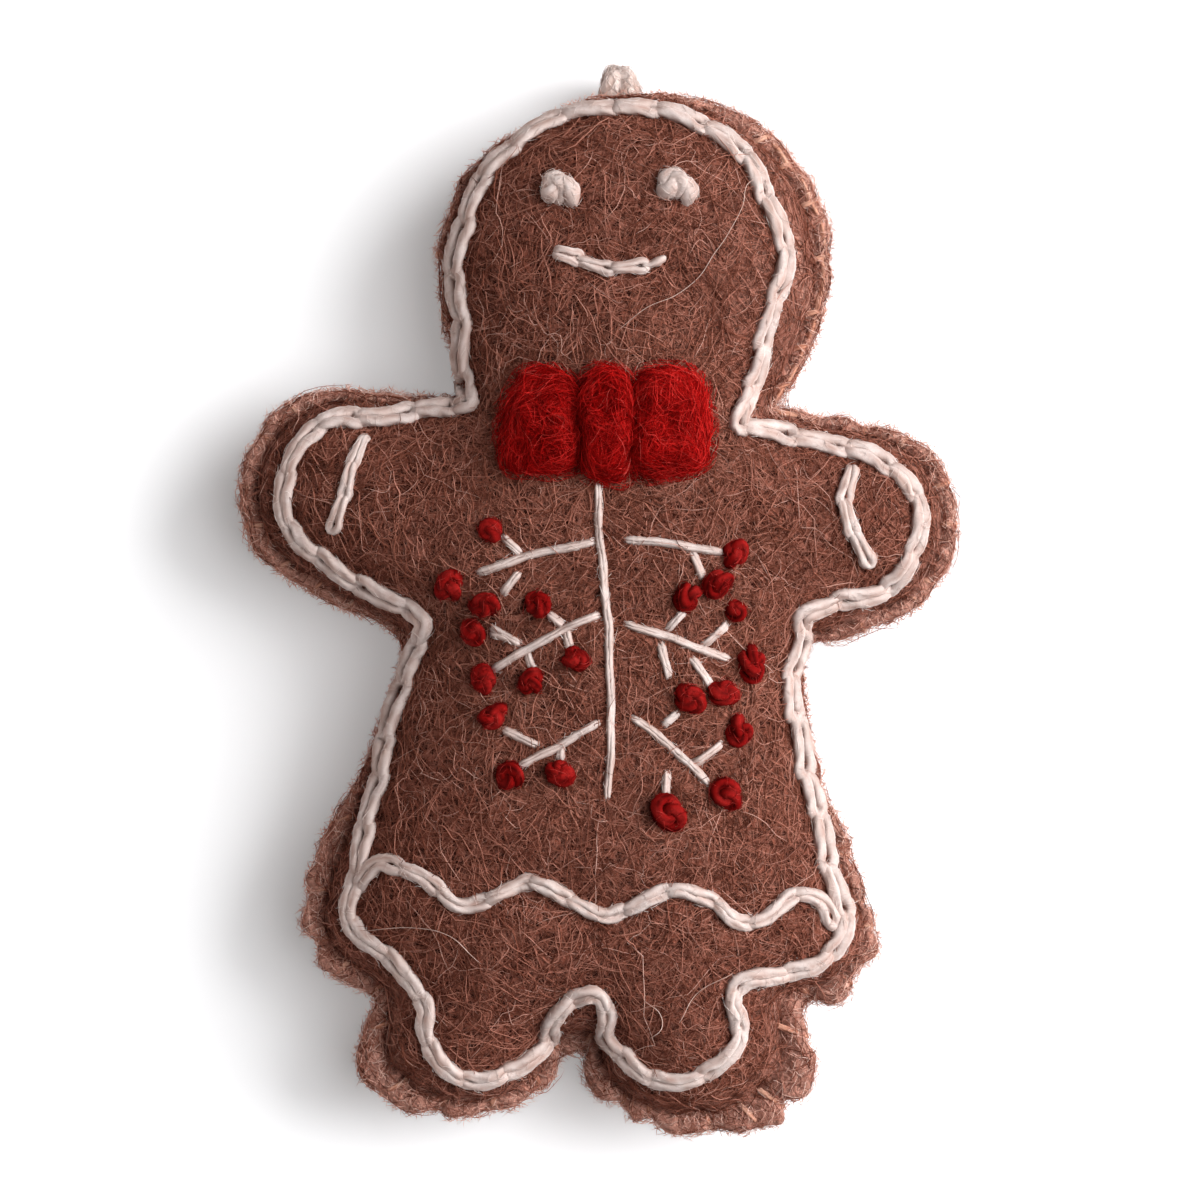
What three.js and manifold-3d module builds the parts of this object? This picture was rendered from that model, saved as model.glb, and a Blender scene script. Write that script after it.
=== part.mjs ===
// A stuffed felt gingerbread figure with an embroidered front, lying on its back.
// Millimetres. +Z is up out of the face, +Y points to the head, and the origin is on the
// resting surface under the middle of the figure. Left and right are as seen from the front.
import * as THREE from 'three';
import { RoundedBoxGeometry } from 'three/addons/geometries/RoundedBoxGeometry.js';
import { mergeVertices } from 'three/addons/utils/BufferGeometryUtils.js';
import Module from 'manifold-3d';

const manifold = await Module();
manifold.setup();

// Felt, stuffing and seam
const FELT_THICKNESS = 2;
const SEAM_GAP = 0.3; // between the two panels at the rim
const SEAM_SHARE = 0.5; // place of the seam between the rim (0) and the outline stitch (1)
const FRONT_SWELL = 11; // rise of the front's highest place over its rim
const BACK_SWELL = 9.5;
const HEAD_BACK_SWELL = 5.4; // the back of the head is stuffed flatter than the body's
const BACK_TAPER_LOW_Y = 13; // the back rises from the body's swell to the head's between these
const BACK_TAPER_HIGH_Y = 25;
const BACK_FLAT = 0.9; // how far the back is pressed flat where it rests
const SWELL_REACH = 11; // distance from the seam over which the stuffing rises
const SWELL_POWER = 0.62; // below 1 rounds the swell off at the top
const CLEARANCE = 0.3;

// Head
const HEAD_X = 4;
const HEAD_Y = 38;
const HEAD_WIDTH = 41.6;
const CROWN_RISE = 17;
const JAW_DROP = 8.5;
const NECK_LEFT_X = -13.9;
const NECK_LEFT_Y = 22.7;
const NECK_RIGHT_X = 18.4;
const NECK_RIGHT_Y = 21.7;

// Arms
const LEFT_HAND_X = -27;
const LEFT_HAND_Y = 12.8;
const LEFT_HAND_RADIUS = 10.9;
const RIGHT_HAND_X = 27.1;
const RIGHT_HAND_Y = 9.5;
const RIGHT_HAND_RADIUS = 10.8;

// Body
const LEFT_ARMPIT_X = -20.5;
const LEFT_ARMPIT_Y = -2.7;
const RIGHT_ARMPIT_X = 22.4;
const RIGHT_ARMPIT_Y = -4;
const LEFT_WAIST_X = -23;
const RIGHT_WAIST_X = 20.5;
const WAIST_Y = -15;
const LEFT_HIP_X = -23.9;
const LEFT_HIP_Y = -32;
const RIGHT_HIP_X = 22.4;
const RIGHT_HIP_Y = -33.4;
const HIP_RADIUS = 7.1;
const LEFT_NOTCH_X = -23.2;
const LEFT_NOTCH_Y = -41.2;
const RIGHT_NOTCH_X = 20.9;
const RIGHT_NOTCH_Y = -42;

// Legs
const LEFT_FOOT_X = -14.8;
const LEFT_FOOT_Y = -46;
const LEFT_FOOT_WIDTH = 21.2;
const LEFT_FOOT_HEIGHT = 13.8;
const RIGHT_FOOT_X = 10.8;
const RIGHT_FOOT_Y = -47.1;
const RIGHT_FOOT_WIDTH = 24;
const RIGHT_FOOT_HEIGHT = 15.8;
const CROTCH_X = -2.8;
const CROTCH_Y = -45.9;

// Embroidery
const CHAIN_WIDTH = 2.2;
const CHAIN_HEIGHT = 1;
const CUFF_WIDTH = 1.5;
const MOUTH_WIDTH = 1.5;
const THREAD_DIAMETER = 0.95;
const SEAM_THREAD_DIAMETER = 0.7;
const SEAM_STITCH_PITCH = 5.4;
const HEM_DROP = 2.8; // the hem wave runs this much lower on the right than on the left
const HEM_LEFT_Y = -28.4;
const HEM_SWING = 2.1;
const HEM_WAVES = 3.45;
const HEM_PHASE = 0.04;
const HEM_DRIFT = 1.5; // the middle waves sit this much further right
const EYE_DIAMETER = 4;
const EYE_RISE = 7.2; // over the widest place of the head
const EYE_SPACING = 12.3;
const FACE_SHIFT = -1.65; // the face sits this much to the left of the head's middle
const BERRY_DIAMETER = 2.7;
const KNOT_HEIGHT_SHARE = 0.75; // height of a knot for its diameter

// Bow
const BOW_X = 0.6;
const BOW_Y = 19.7;
const BOW_KNOT_WIDTH = 5.4;
const BOW_LOBE_WIDTH = 8.6;
const BOW_HEIGHT = 11.9;
const BOW_RISE = 3.4;
const BOW_ROUNDING = 2.4;
const BOW_ROOT = 6; // how far a lobe's block starts under the felt before it is cut to it

// Hanging loop
const CORD_DIAMETER = 2.2;
const LOOP_X = 2.3;
const LOOP_REACH = 1.7; // from the rim to the middle of the loop's neck
const LOOP_LENGTH = 29; // of the folded part, from the neck to the end of the loop
const LOOP_SPREAD = 11; // widest distance between the two strands
const LOOP_BASE_HEIGHT = 1.7; // the doubled cord pressed flat in the seam
const LOOP_BASE_DEPTH = 5.5; // of cord inside the seam
const LOOP_FLOOR_GAP = 0.1; // under the folded part

// Mesh fineness
const RING_STEP = 3;
const FILL_PITCH = 4.6;
const GRID_STEP = 1.25;

// Levels: the back's flat is at zero
const SEAM_Z = BACK_SWELL - BACK_FLAT + FELT_THICKNESS + SEAM_GAP / 2;
const FLANGE_TOP = SEAM_GAP / 2 + FELT_THICKNESS;

// The limbs of the rim: arcs by centre and radii, corners by place.
const rim = {
  head: { x: HEAD_X, y: HEAD_Y, rx: HEAD_WIDTH / 2, ry: CROWN_RISE },
  jaw: { x: 0, y: HEAD_Y - JAW_DROP },
  neckLeft: { x: NECK_LEFT_X, y: NECK_LEFT_Y },
  neckRight: { x: NECK_RIGHT_X, y: NECK_RIGHT_Y },
  handLeft: { x: LEFT_HAND_X, y: LEFT_HAND_Y, rx: LEFT_HAND_RADIUS, ry: LEFT_HAND_RADIUS },
  handRight: { x: RIGHT_HAND_X, y: RIGHT_HAND_Y, rx: RIGHT_HAND_RADIUS, ry: RIGHT_HAND_RADIUS },
  armpitLeft: { x: LEFT_ARMPIT_X, y: LEFT_ARMPIT_Y },
  armpitRight: { x: RIGHT_ARMPIT_X, y: RIGHT_ARMPIT_Y },
  waistLeft: { x: LEFT_WAIST_X, y: WAIST_Y },
  waistRight: { x: RIGHT_WAIST_X, y: WAIST_Y },
  hipLeft: { x: LEFT_HIP_X, y: LEFT_HIP_Y, rx: HIP_RADIUS, ry: HIP_RADIUS },
  hipRight: { x: RIGHT_HIP_X, y: RIGHT_HIP_Y, rx: HIP_RADIUS, ry: HIP_RADIUS },
  notchLeft: { x: LEFT_NOTCH_X, y: LEFT_NOTCH_Y },
  notchRight: { x: RIGHT_NOTCH_X, y: RIGHT_NOTCH_Y },
  footLeft: { x: LEFT_FOOT_X, y: LEFT_FOOT_Y, rx: LEFT_FOOT_WIDTH / 2, ry: LEFT_FOOT_HEIGHT / 2 },
  footRight: { x: RIGHT_FOOT_X, y: RIGHT_FOOT_Y, rx: RIGHT_FOOT_WIDTH / 2, ry: RIGHT_FOOT_HEIGHT / 2 },
  crotch: { x: CROTCH_X, y: CROTCH_Y },
};

// How far the outline stitch lies inside the rim at each limb: shift of the place, then less radius.
const inset = {
  head: { x: -1.3, y: -1.8, rx: -3.3, ry: 0.2 },
  jaw: { x: 0, y: 0 },
  neckLeft: { x: 0.9, y: -0.9 },
  neckRight: { x: -3.2, y: -1.8 },
  handLeft: { x: 1.7, y: -0.1, rx: -2.6, ry: -2.6 },
  handRight: { x: -0.9, y: -0.1, rx: -2.8, ry: -2.8 },
  armpitLeft: { x: 1.9, y: 1.7 },
  armpitRight: { x: -1.1, y: 3.6 },
  waistLeft: { x: 1, y: 2 },
  waistRight: { x: -0.9, y: 1 },
  hipLeft: { x: 1.6, y: 0.8, rx: -2.8, ry: -2.8 },
  hipRight: { x: -1.1, y: 0.9, rx: -2.2, ry: -2.2 },
  notchLeft: { x: 3.9, y: 2 },
  notchRight: { x: -5.1, y: 3.3 },
  footLeft: { x: 2.4, y: 2.6, rx: -4.2, ry: -0.9 },
  footRight: { x: -2.2, y: 3.4, rx: -5.2, ry: -1.7 },
  crotch: { x: 2, y: 5.6 },
};

// The limbs moved in by a share of their inset.
function limbsAt(share) {
  const limbs = {};
  for (const [name, limb] of Object.entries(rim)) {
    limbs[name] = {};
    for (const key of Object.keys(limb)) {
      limbs[name][key] = limb[key] + share * inset[name][key];
    }
  }
  return limbs;
}

const radians = THREE.MathUtils.degToRad;

function arc(limb, from, to) {
  return new THREE.EllipseCurve(limb.x, limb.y, limb.rx, limb.ry, radians(from), radians(to), true);
}

function point(limb) {
  return new THREE.Vector2(limb.x, limb.y);
}

// The figure's outline clockwise from the left side of the head, as curves from corner to corner.
function outlineCurves(limbs) {
  const headLeft = new THREE.Vector2(limbs.head.x - limbs.head.rx, limbs.head.y);
  const headRight = new THREE.Vector2(limbs.head.x + limbs.head.rx, limbs.head.y);
  const jawLeft = new THREE.Vector2(headLeft.x, limbs.jaw.y);
  const jawRight = new THREE.Vector2(headRight.x, limbs.jaw.y);
  const handRight = arc(limbs.handRight, 85, -75);
  const handLeft = arc(limbs.handLeft, 245, 75);
  const hipRight = arc(limbs.hipRight, 10, -85);
  const hipLeft = arc(limbs.hipLeft, 250, 170);
  const footRight = arc(limbs.footRight, 24, -188);
  const footLeft = arc(limbs.footLeft, 5, -195);
  const start = (curve) => curve.getPoint(0);
  const end = (curve) => curve.getPoint(1);
  return [
    arc(limbs.head, 180, 0),
    new THREE.QuadraticBezierCurve(headRight, jawRight, point(limbs.neckRight)),
    new THREE.LineCurve(point(limbs.neckRight), start(handRight)),
    handRight,
    new THREE.LineCurve(end(handRight), point(limbs.armpitRight)),
    new THREE.QuadraticBezierCurve(point(limbs.armpitRight), point(limbs.waistRight), start(hipRight)),
    hipRight,
    new THREE.LineCurve(end(hipRight), point(limbs.notchRight)),
    new THREE.LineCurve(point(limbs.notchRight), start(footRight)),
    footRight,
    new THREE.LineCurve(end(footRight), point(limbs.crotch)),
    new THREE.LineCurve(point(limbs.crotch), start(footLeft)),
    footLeft,
    new THREE.LineCurve(end(footLeft), point(limbs.notchLeft)),
    new THREE.LineCurve(point(limbs.notchLeft), start(hipLeft)),
    hipLeft,
    new THREE.QuadraticBezierCurve(end(hipLeft), point(limbs.waistLeft), point(limbs.armpitLeft)),
    new THREE.LineCurve(point(limbs.armpitLeft), start(handLeft)),
    handLeft,
    new THREE.LineCurve(end(handLeft), point(limbs.neckLeft)),
    new THREE.QuadraticBezierCurve(point(limbs.neckLeft), jawLeft, headLeft),
  ];
}

// The number of steps each curve takes on the rim, so that every ring has matching points.
const ringSteps = (curve) => Math.max(1, Math.round(curve.getLength() / RING_STEP));
const ringCounts = outlineCurves(rim).map(ringSteps);

function ring(share) {
  const points = [];
  outlineCurves(limbsAt(share)).forEach((curve, index) => {
    const count = ringCounts[index];
    for (let step = 0; step < count; step += 1) {
      points.push(curve.getPoint(step / count));
    }
  });
  return points;
}

const rimRing = ring(0);
const seamRing = ring(SEAM_SHARE);
const stitchRing = ring(1);
const ringSize = rimRing.length;

function inside(polygon, x, y) {
  let odd = false;
  polygon.forEach((a, index) => {
    const b = polygon[(index + 1) % polygon.length];
    if (a.y > y !== b.y > y && x < ((b.x - a.x) * (y - a.y)) / (b.y - a.y) + a.x) {
      odd = !odd;
    }
  });
  return odd;
}

function distanceTo(polygon, x, y) {
  const place = new THREE.Vector3(x, y, 0);
  const edge = new THREE.Line3();
  const nearest = new THREE.Vector3();
  let least = Infinity;
  polygon.forEach((a, index) => {
    const b = polygon[(index + 1) % polygon.length];
    edge.start.set(a.x, a.y, 0);
    edge.end.set(b.x, b.y, 0);
    edge.closestPointToPoint(place, true, nearest);
    least = Math.min(least, nearest.distanceTo(place));
  });
  return least;
}

// The swell of a stuffed skin held at the seam: a stretched membrane under even pressure, relaxed on
// a grid, with the pull of the stuffing limiting its rise away from the seam. Values run from 0 to 1.
function swellField() {
  const box = new THREE.Box2().setFromPoints(rimRing).expandByScalar(GRID_STEP * 2);
  const columns = Math.ceil((box.max.x - box.min.x) / GRID_STEP) + 1;
  const rows = Math.ceil((box.max.y - box.min.y) / GRID_STEP) + 1;
  const values = new Float64Array(columns * rows);
  const free = [];
  for (let row = 1; row < rows - 1; row += 1) {
    for (let column = 1; column < columns - 1; column += 1) {
      if (inside(seamRing, box.min.x + column * GRID_STEP, box.min.y + row * GRID_STEP)) {
        free.push(row * columns + column);
      }
    }
  }
  const load = GRID_STEP * GRID_STEP;
  const held = 4 + load / (SWELL_REACH * SWELL_REACH);
  const rounds = 260;
  const gain = 1.8; // over-relaxation, stable below 2
  for (let round = 0; round < rounds; round += 1) {
    for (const cell of free) {
      const around = values[cell - 1] + values[cell + 1] + values[cell - columns] + values[cell + columns];
      values[cell] += gain * ((around + load) / held - values[cell]);
    }
  }
  const top = values.reduce((most, value) => Math.max(most, value), 0);
  return (x, y) => {
    const u = (x - box.min.x) / GRID_STEP;
    const v = (y - box.min.y) / GRID_STEP;
    const cell = Math.floor(v) * columns + Math.floor(u);
    const fu = u - Math.floor(u);
    const fv = v - Math.floor(v);
    const low = values[cell] * (1 - fu) + values[cell + 1] * fu;
    const high = values[cell + columns] * (1 - fu) + values[cell + columns + 1] * fu;
    return ((low * (1 - fv) + high * fv) / top) ** SWELL_POWER;
  };
}

const swell = swellField();

// Places in staggered rows inside the outline stitch.
function fillPoints() {
  const box = new THREE.Box2().setFromPoints(stitchRing);
  const rowPitch = FILL_PITCH * Math.sin(Math.PI / 3);
  const points = [];
  let odd = false;
  for (let y = box.min.y; y < box.max.y; y += rowPitch) {
    odd = !odd;
    for (let x = box.min.x + (odd ? 0 : FILL_PITCH / 2); x < box.max.x; x += FILL_PITCH) {
      if (inside(stitchRing, x, y) && distanceTo(stitchRing, x, y) > FILL_PITCH / 2) {
        points.push(new THREE.Vector2(x, y));
      }
    }
  }
  return points;
}

function circleThrough(a, b, c) {
  const d = 2 * (a.x * (b.y - c.y) + b.x * (c.y - a.y) + c.x * (a.y - b.y));
  const sa = a.lengthSq();
  const sb = b.lengthSq();
  const sc = c.lengthSq();
  const x = (sa * (b.y - c.y) + sb * (c.y - a.y) + sc * (a.y - b.y)) / d;
  const y = (sa * (c.x - b.x) + sb * (a.x - c.x) + sc * (b.x - a.x)) / d;
  return { x, y, rr: (a.x - x) ** 2 + (a.y - y) ** 2 };
}

// Delaunay triangles over the points, counter-clockwise, adding one point at a time.
function triangulate(points) {
  const far = 1000;
  const count = points.length;
  const frame = [new THREE.Vector2(-far, -far), new THREE.Vector2(far, -far), new THREE.Vector2(0, far)];
  const all = [...points, ...frame];
  const triangle = (i, j, k) => ({ ids: [i, j, k], circle: circleThrough(all[i], all[j], all[k]) });
  let triangles = [triangle(count, count + 1, count + 2)];
  points.forEach((place, index) => {
    const edges = new Map();
    const kept = [];
    for (const item of triangles) {
      const { x, y, rr } = item.circle;
      if ((place.x - x) ** 2 + (place.y - y) ** 2 > rr) {
        kept.push(item);
      } else {
        const [i, j, k] = item.ids;
        for (const [from, to] of [[i, j], [j, k], [k, i]]) {
          if (!edges.delete(`${to},${from}`)) {
            edges.set(`${from},${to}`, [from, to]);
          }
        }
      }
    }
    triangles = kept;
    for (const [from, to] of edges.values()) {
      triangles.push(triangle(from, to, index));
    }
  });
  return triangles.map((item) => item.ids).filter((ids) => ids.every((id) => id < count));
}

// One layout for both panels and the stuffing: rim, seam and stitch rings, then the fill places.
const fill = fillPoints();
const places = [...rimRing, ...seamRing, ...stitchRing, ...fill];
const fillStart = 2 * ringSize;

function innerTriangles() {
  const points = places.slice(fillStart);
  const centroid = new THREE.Vector2();
  return triangulate(points).filter((ids) => {
    centroid.set(0, 0);
    ids.forEach((id) => centroid.addScaledVector(points[id], 1 / 3));
    return inside(stitchRing, centroid.x, centroid.y);
  }).map((ids) => ids.map((id) => id + fillStart));
}

function stripTriangles(outerStart, innerStart) {
  const triangles = [];
  for (let i = 0; i < ringSize; i += 1) {
    const next = (i + 1) % ringSize;
    triangles.push([outerStart + i, innerStart + i, outerStart + next]);
    triangles.push([outerStart + next, innerStart + i, innerStart + next]);
  }
  return triangles;
}

const core = innerTriangles();
const strips = [...stripTriangles(0, ringSize), ...stripTriangles(ringSize, fillStart)];
const skin = [...strips, ...core];

function averageNormals(vertices, triangles) {
  const normals = vertices.map(() => new THREE.Vector3());
  const face = new THREE.Triangle();
  const normal = new THREE.Vector3();
  for (const [a, b, c] of triangles) {
    face.set(vertices[a], vertices[b], vertices[c]);
    face.getNormal(normal).multiplyScalar(face.getArea());
    [a, b, c].forEach((id) => normals[id].add(normal));
  }
  return normals.map((sum) => sum.normalize());
}

// How high the front and the back swell at a level of the figure.
function frontRise() {
  return FRONT_SWELL;
}

function backRise(y) {
  const share = THREE.MathUtils.smoothstep(y, BACK_TAPER_LOW_Y, BACK_TAPER_HIGH_Y);
  return THREE.MathUtils.lerp(BACK_SWELL, HEAD_BACK_SWELL, share);
}

// Outer skin over its own seam plane at zero, with the swell rising to the given height.
function outerSkin(rise) {
  return places.map((place, id) => {
    const height = id < fillStart ? 0 : rise(place.y) * swell(place.x, place.y);
    return new THREE.Vector3(place.x, place.y, FLANGE_TOP + height);
  });
}

// The same skin moved inwards along its normals, resting on the seam plane at rim and seam.
function innerSkin(outer, depth) {
  const normals = averageNormals(outer, skin);
  return outer.map((vertex, id) => {
    if (id < fillStart) {
      return new THREE.Vector3(vertex.x, vertex.y, SEAM_GAP / 2);
    }
    const moved = vertex.clone().addScaledVector(normals[id], -depth);
    moved.z = Math.max(moved.z, SEAM_GAP / 2 + CLEARANCE);
    return moved;
  });
}

function geometryFrom(vertices, triangles) {
  const geometry = new THREE.BufferGeometry();
  const numbers = vertices.flatMap((v) => v.toArray());
  geometry.setAttribute('position', new THREE.Float32BufferAttribute(numbers, 3));
  geometry.setIndex(triangles.flat());
  return geometry;
}

// A closed body between two sheets of the same layout, with a wall round the ring that starts at first.
function closedBetween(top, bottom, triangles, first) {
  const count = top.length;
  const faces = triangles.map((ids) => [...ids]);
  for (const [a, b, c] of triangles) {
    faces.push([a + count, c + count, b + count]);
  }
  for (let i = 0; i < ringSize; i += 1) {
    const here = first + i;
    const next = first + ((i + 1) % ringSize);
    faces.push([here, next, next + count]);
    faces.push([here, next + count, here + count]);
  }
  return geometryFrom([...top, ...bottom], faces);
}

// The bare shape of a geometry, with shared corners.
function welded(geometry) {
  const loose = geometry.index ? geometry.toNonIndexed() : geometry;
  return mergeVertices(loose.deleteAttribute('normal').deleteAttribute('uv'));
}

function solidOf(geometry) {
  const bare = welded(geometry);
  const mesh = new manifold.Mesh({
    numProp: 3,
    vertProperties: new Float32Array(bare.attributes.position.array),
    triVerts: new Uint32Array(bare.index.array),
  });
  return new manifold.Manifold(mesh);
}

function geometryOf(solid) {
  const mesh = solid.getMesh();
  const geometry = new THREE.BufferGeometry();
  geometry.setAttribute('position', new THREE.BufferAttribute(new Float32Array(mesh.vertProperties), 3));
  geometry.setIndex(new THREE.BufferAttribute(new Uint32Array(mesh.triVerts), 1));
  return geometry;
}

const frontOuter = outerSkin(frontRise).map((v) => v.setZ(v.z + SEAM_Z));
const frontNormals = averageNormals(frontOuter, skin);

// The height and the normal of the front skin over a place.
function onFront(x, y) {
  const place = new THREE.Vector3(x, y, 0);
  const face = new THREE.Triangle();
  const weights = new THREE.Vector3();
  for (const [a, b, c] of skin) {
    face.a.copy(frontOuter[a]).setZ(0);
    face.b.copy(frontOuter[b]).setZ(0);
    face.c.copy(frontOuter[c]).setZ(0);
    if (face.containsPoint(place)) {
      face.getBarycoord(place, weights);
      const at = new THREE.Vector3();
      const normal = new THREE.Vector3();
      [a, b, c].forEach((id, corner) => {
        at.addScaledVector(frontOuter[id], weights.getComponent(corner));
        normal.addScaledVector(frontNormals[id], weights.getComponent(corner));
      });
      return { at, normal: normal.normalize() };
    }
  }
  throw new Error(`no felt under ${x}, ${y}`);
}

// Materials
function cloth(name, colour) {
  const material = new THREE.MeshStandardMaterial({ color: colour, roughness: 0.95, metalness: 0 });
  material.name = name;
  return material;
}

const brownFelt = () => cloth('brown_felt', 0x6e4438);
const creamFloss = () => cloth('cream_floss', 0xe2cfc4);
const redFloss = () => cloth('red_floss', 0xa01812);
const redWool = () => cloth('red_wool', 0x8c0e0c);
const seamCotton = () => cloth('seam_cotton', 0x9c5a3a);
const woolFill = () => cloth('wool_fill', 0xd8cfc2);
const creamCord = () => cloth('cream_cord', 0xdcc8bc);

const group = new THREE.Group();
group.name = 'felt_gingerbread_ornament';

function add(name, geometry, material) {
  const mesh = new THREE.Mesh(geometry, material);
  mesh.name = name;
  group.add(mesh);
  return mesh;
}

// Panels and stuffing
const rimTop = HEAD_Y + CROWN_RISE * Math.sqrt(1 - ((LOOP_X - HEAD_X) / (HEAD_WIDTH / 2)) ** 2);

function ovalShape(width, height) {
  const shape = new THREE.Shape();
  shape.absellipse(0, 0, width / 2, height / 2, 0, Math.PI * 2, false);
  return shape;
}

// A straight oval bar along Y at the loop's place in the seam.
function seamBar(width, height, from, to) {
  const options = { depth: to - from, bevelEnabled: false, curveSegments: 6 };
  const bar = new THREE.ExtrudeGeometry(ovalShape(width, height), options);
  bar.rotateX(-Math.PI / 2);
  bar.translate(LOOP_X, from, SEAM_Z);
  return bar;
}

function withChannel(geometry) {
  const width = 2 * CORD_DIAMETER + 2 * CLEARANCE;
  const height = LOOP_BASE_HEIGHT + 2 * CLEARANCE;
  const cut = seamBar(width, height, rimTop - LOOP_BASE_DEPTH - CLEARANCE, rimTop + 2);
  return geometryOf(solidOf(geometry).subtract(solidOf(cut)));
}

function raised(vertices, z) {
  return vertices.map((v) => v.clone().setZ(v.z + z));
}

function below(vertices) {
  return vertices.map((v) => new THREE.Vector3(v.x, v.y, Math.max(0, SEAM_Z - v.z)));
}

function addPanels() {
  const frontInner = raised(innerSkin(outerSkin(frontRise), FELT_THICKNESS), SEAM_Z);
  add('front_panel', withChannel(closedBetween(frontOuter, frontInner, skin, 0)), brownFelt());
  const backOuter = outerSkin(backRise);
  const backInner = innerSkin(backOuter, FELT_THICKNESS);
  const lining = below(backInner).map((v) => v.setZ(Math.max(v.z, FELT_THICKNESS)));
  add('back_panel', withChannel(closedBetween(lining, below(backOuter), skin, 0)), brownFelt());
}

// The stuffing fills the hollow inside the outline stitch.
function addStuffing() {
  const depth = FELT_THICKNESS + CLEARANCE;
  const top = raised(innerSkin(outerSkin(frontRise), depth), SEAM_Z).slice(fillStart);
  const hollow = below(innerSkin(outerSkin(backRise), depth)).slice(fillStart);
  const bottom = hollow.map((v) => v.setZ(Math.max(v.z, depth)));
  const faces = core.map((ids) => ids.map((id) => id - fillStart));
  add('wool_stuffing', withChannel(closedBetween(top, bottom, faces, 0)), woolFill());
}

// A closed oval thread along the points: width across the surface, height along its normals.
function ribbon(points, normals, width, height, sides, joined) {
  const count = points.length;
  const vertices = [];
  const faces = [];
  const tangent = new THREE.Vector3();
  const across = new THREE.Vector3();
  points.forEach((place, i) => {
    const before = joined ? points[(i + count - 1) % count] : points[Math.max(i - 1, 0)];
    const after = joined ? points[(i + 1) % count] : points[Math.min(i + 1, count - 1)];
    tangent.subVectors(after, before).normalize();
    across.crossVectors(tangent, normals[i]).normalize();
    const up = across.clone().cross(tangent);
    for (let side = 0; side < sides; side += 1) {
      const angle = (2 * Math.PI * side) / sides;
      const vertex = place.clone().addScaledVector(across, (Math.cos(angle) * width) / 2);
      vertices.push(vertex.addScaledVector(up, (Math.sin(angle) * height) / 2));
    }
  });
  const lengths = joined ? count : count - 1;
  for (let i = 0; i < lengths; i += 1) {
    const here = i * sides;
    const next = ((i + 1) % count) * sides;
    for (let side = 0; side < sides; side += 1) {
      const turn = (side + 1) % sides;
      faces.push([here + side, next + turn, here + turn]);
      faces.push([here + side, next + side, next + turn]);
    }
  }
  if (!joined) {
    const last = (count - 1) * sides;
    for (let side = 1; side < sides - 1; side += 1) {
      faces.push([0, side, side + 1]);
      faces.push([last, last + side + 1, last + side]);
    }
  }
  return geometryFrom(vertices, faces);
}

// Thread that lies on the front along places given in the plane.
function onFelt(route, width, height, sides) {
  const points = [];
  const normals = [];
  for (const place of route) {
    const { at, normal } = onFront(place.x, place.y);
    points.push(at.addScaledVector(normal, height / 2 + CLEARANCE));
    normals.push(normal);
  }
  return ribbon(points, normals, width, height, sides, false);
}

function spacedAlong(curve, step) {
  return curve.getSpacedPoints(Math.max(2, Math.ceil(curve.getLength() / step)));
}

function curveThrough(pairs) {
  return new THREE.SplineCurve(pairs.map(([x, y]) => new THREE.Vector2(x, y)));
}

function addOutlineStitch() {
  const offset = CHAIN_HEIGHT / 2 + CLEARANCE;
  const points = [];
  const normals = [];
  for (let i = 0; i < ringSize; i += 1) {
    normals.push(frontNormals[fillStart + i]);
    points.push(frontOuter[fillStart + i].clone().addScaledVector(frontNormals[fillStart + i], offset));
  }
  add('outline_stitch', ribbon(points, normals, CHAIN_WIDTH, CHAIN_HEIGHT, 6, true), creamFloss());
}

// The side of the stitched outline at a height, for the hem to end at.
function stitchSide(y, sign) {
  let x = 0;
  while (inside(stitchRing, x, y) && distanceTo(stitchRing, x, y) > CHAIN_WIDTH + CLEARANCE) {
    x += sign * 0.1;
  }
  return x;
}

function addHemStitch() {
  const rightY = HEM_LEFT_Y - HEM_DROP;
  const left = stitchSide(HEM_LEFT_Y, -1);
  const right = stitchSide(rightY - HEM_SWING, 1);
  const points = [];
  const count = 40;
  for (let step = 0; step <= count; step += 1) {
    const t = step / count;
    const wave = Math.cos(2 * Math.PI * HEM_WAVES * (t - HEM_PHASE));
    const x = THREE.MathUtils.lerp(left, right, t) + HEM_DRIFT * Math.sin(Math.PI * t);
    points.push(new THREE.Vector2(x, THREE.MathUtils.lerp(HEM_LEFT_Y, rightY, t) + HEM_SWING * wave));
  }
  add('hem_stitch', onFelt(points, CHAIN_WIDTH, CHAIN_HEIGHT, 6), creamFloss());
}

function addFace() {
  const faceX = HEAD_X + FACE_SHIFT;
  const eyeY = HEAD_Y + EYE_RISE;
  const smile = [[-6.4, 0], [-4.3, -0.9], [-1.6, -1.9], [2.3, -1.9], [4.6, -0.8]];
  const mouth = curveThrough(smile.map(([x, y]) => [faceX + x, HEAD_Y + y]));
  add('mouth_stitch', onFelt(spacedAlong(mouth, 1.6), MOUTH_WIDTH, CHAIN_HEIGHT, 6), creamFloss());
  addKnot('left_eye', faceX - EYE_SPACING / 2, eyeY, EYE_DIAMETER, creamFloss());
  addKnot('right_eye', faceX + EYE_SPACING / 2, eyeY, EYE_DIAMETER, creamFloss());
}

// A cuff through places measured from the middle of its hand.
function addCuff(name, hand, route) {
  const line = curveThrough(route.map(([x, y]) => [hand.x + x, hand.y + y]));
  add(name, onFelt(spacedAlong(line, 2), CUFF_WIDTH, CHAIN_HEIGHT, 6), creamFloss());
}

function addCuffs() {
  addCuff('left_cuff_stitch', rim.handLeft, [[2, 5.4], [0.6, 0.8], [-1, -3.9]]);
  addCuff('right_cuff_stitch', rim.handRight, [[-0.3, 5.3], [-0.7, 2.5], [-0.4, -0.5], [1.3, -4.3]]);
}

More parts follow.
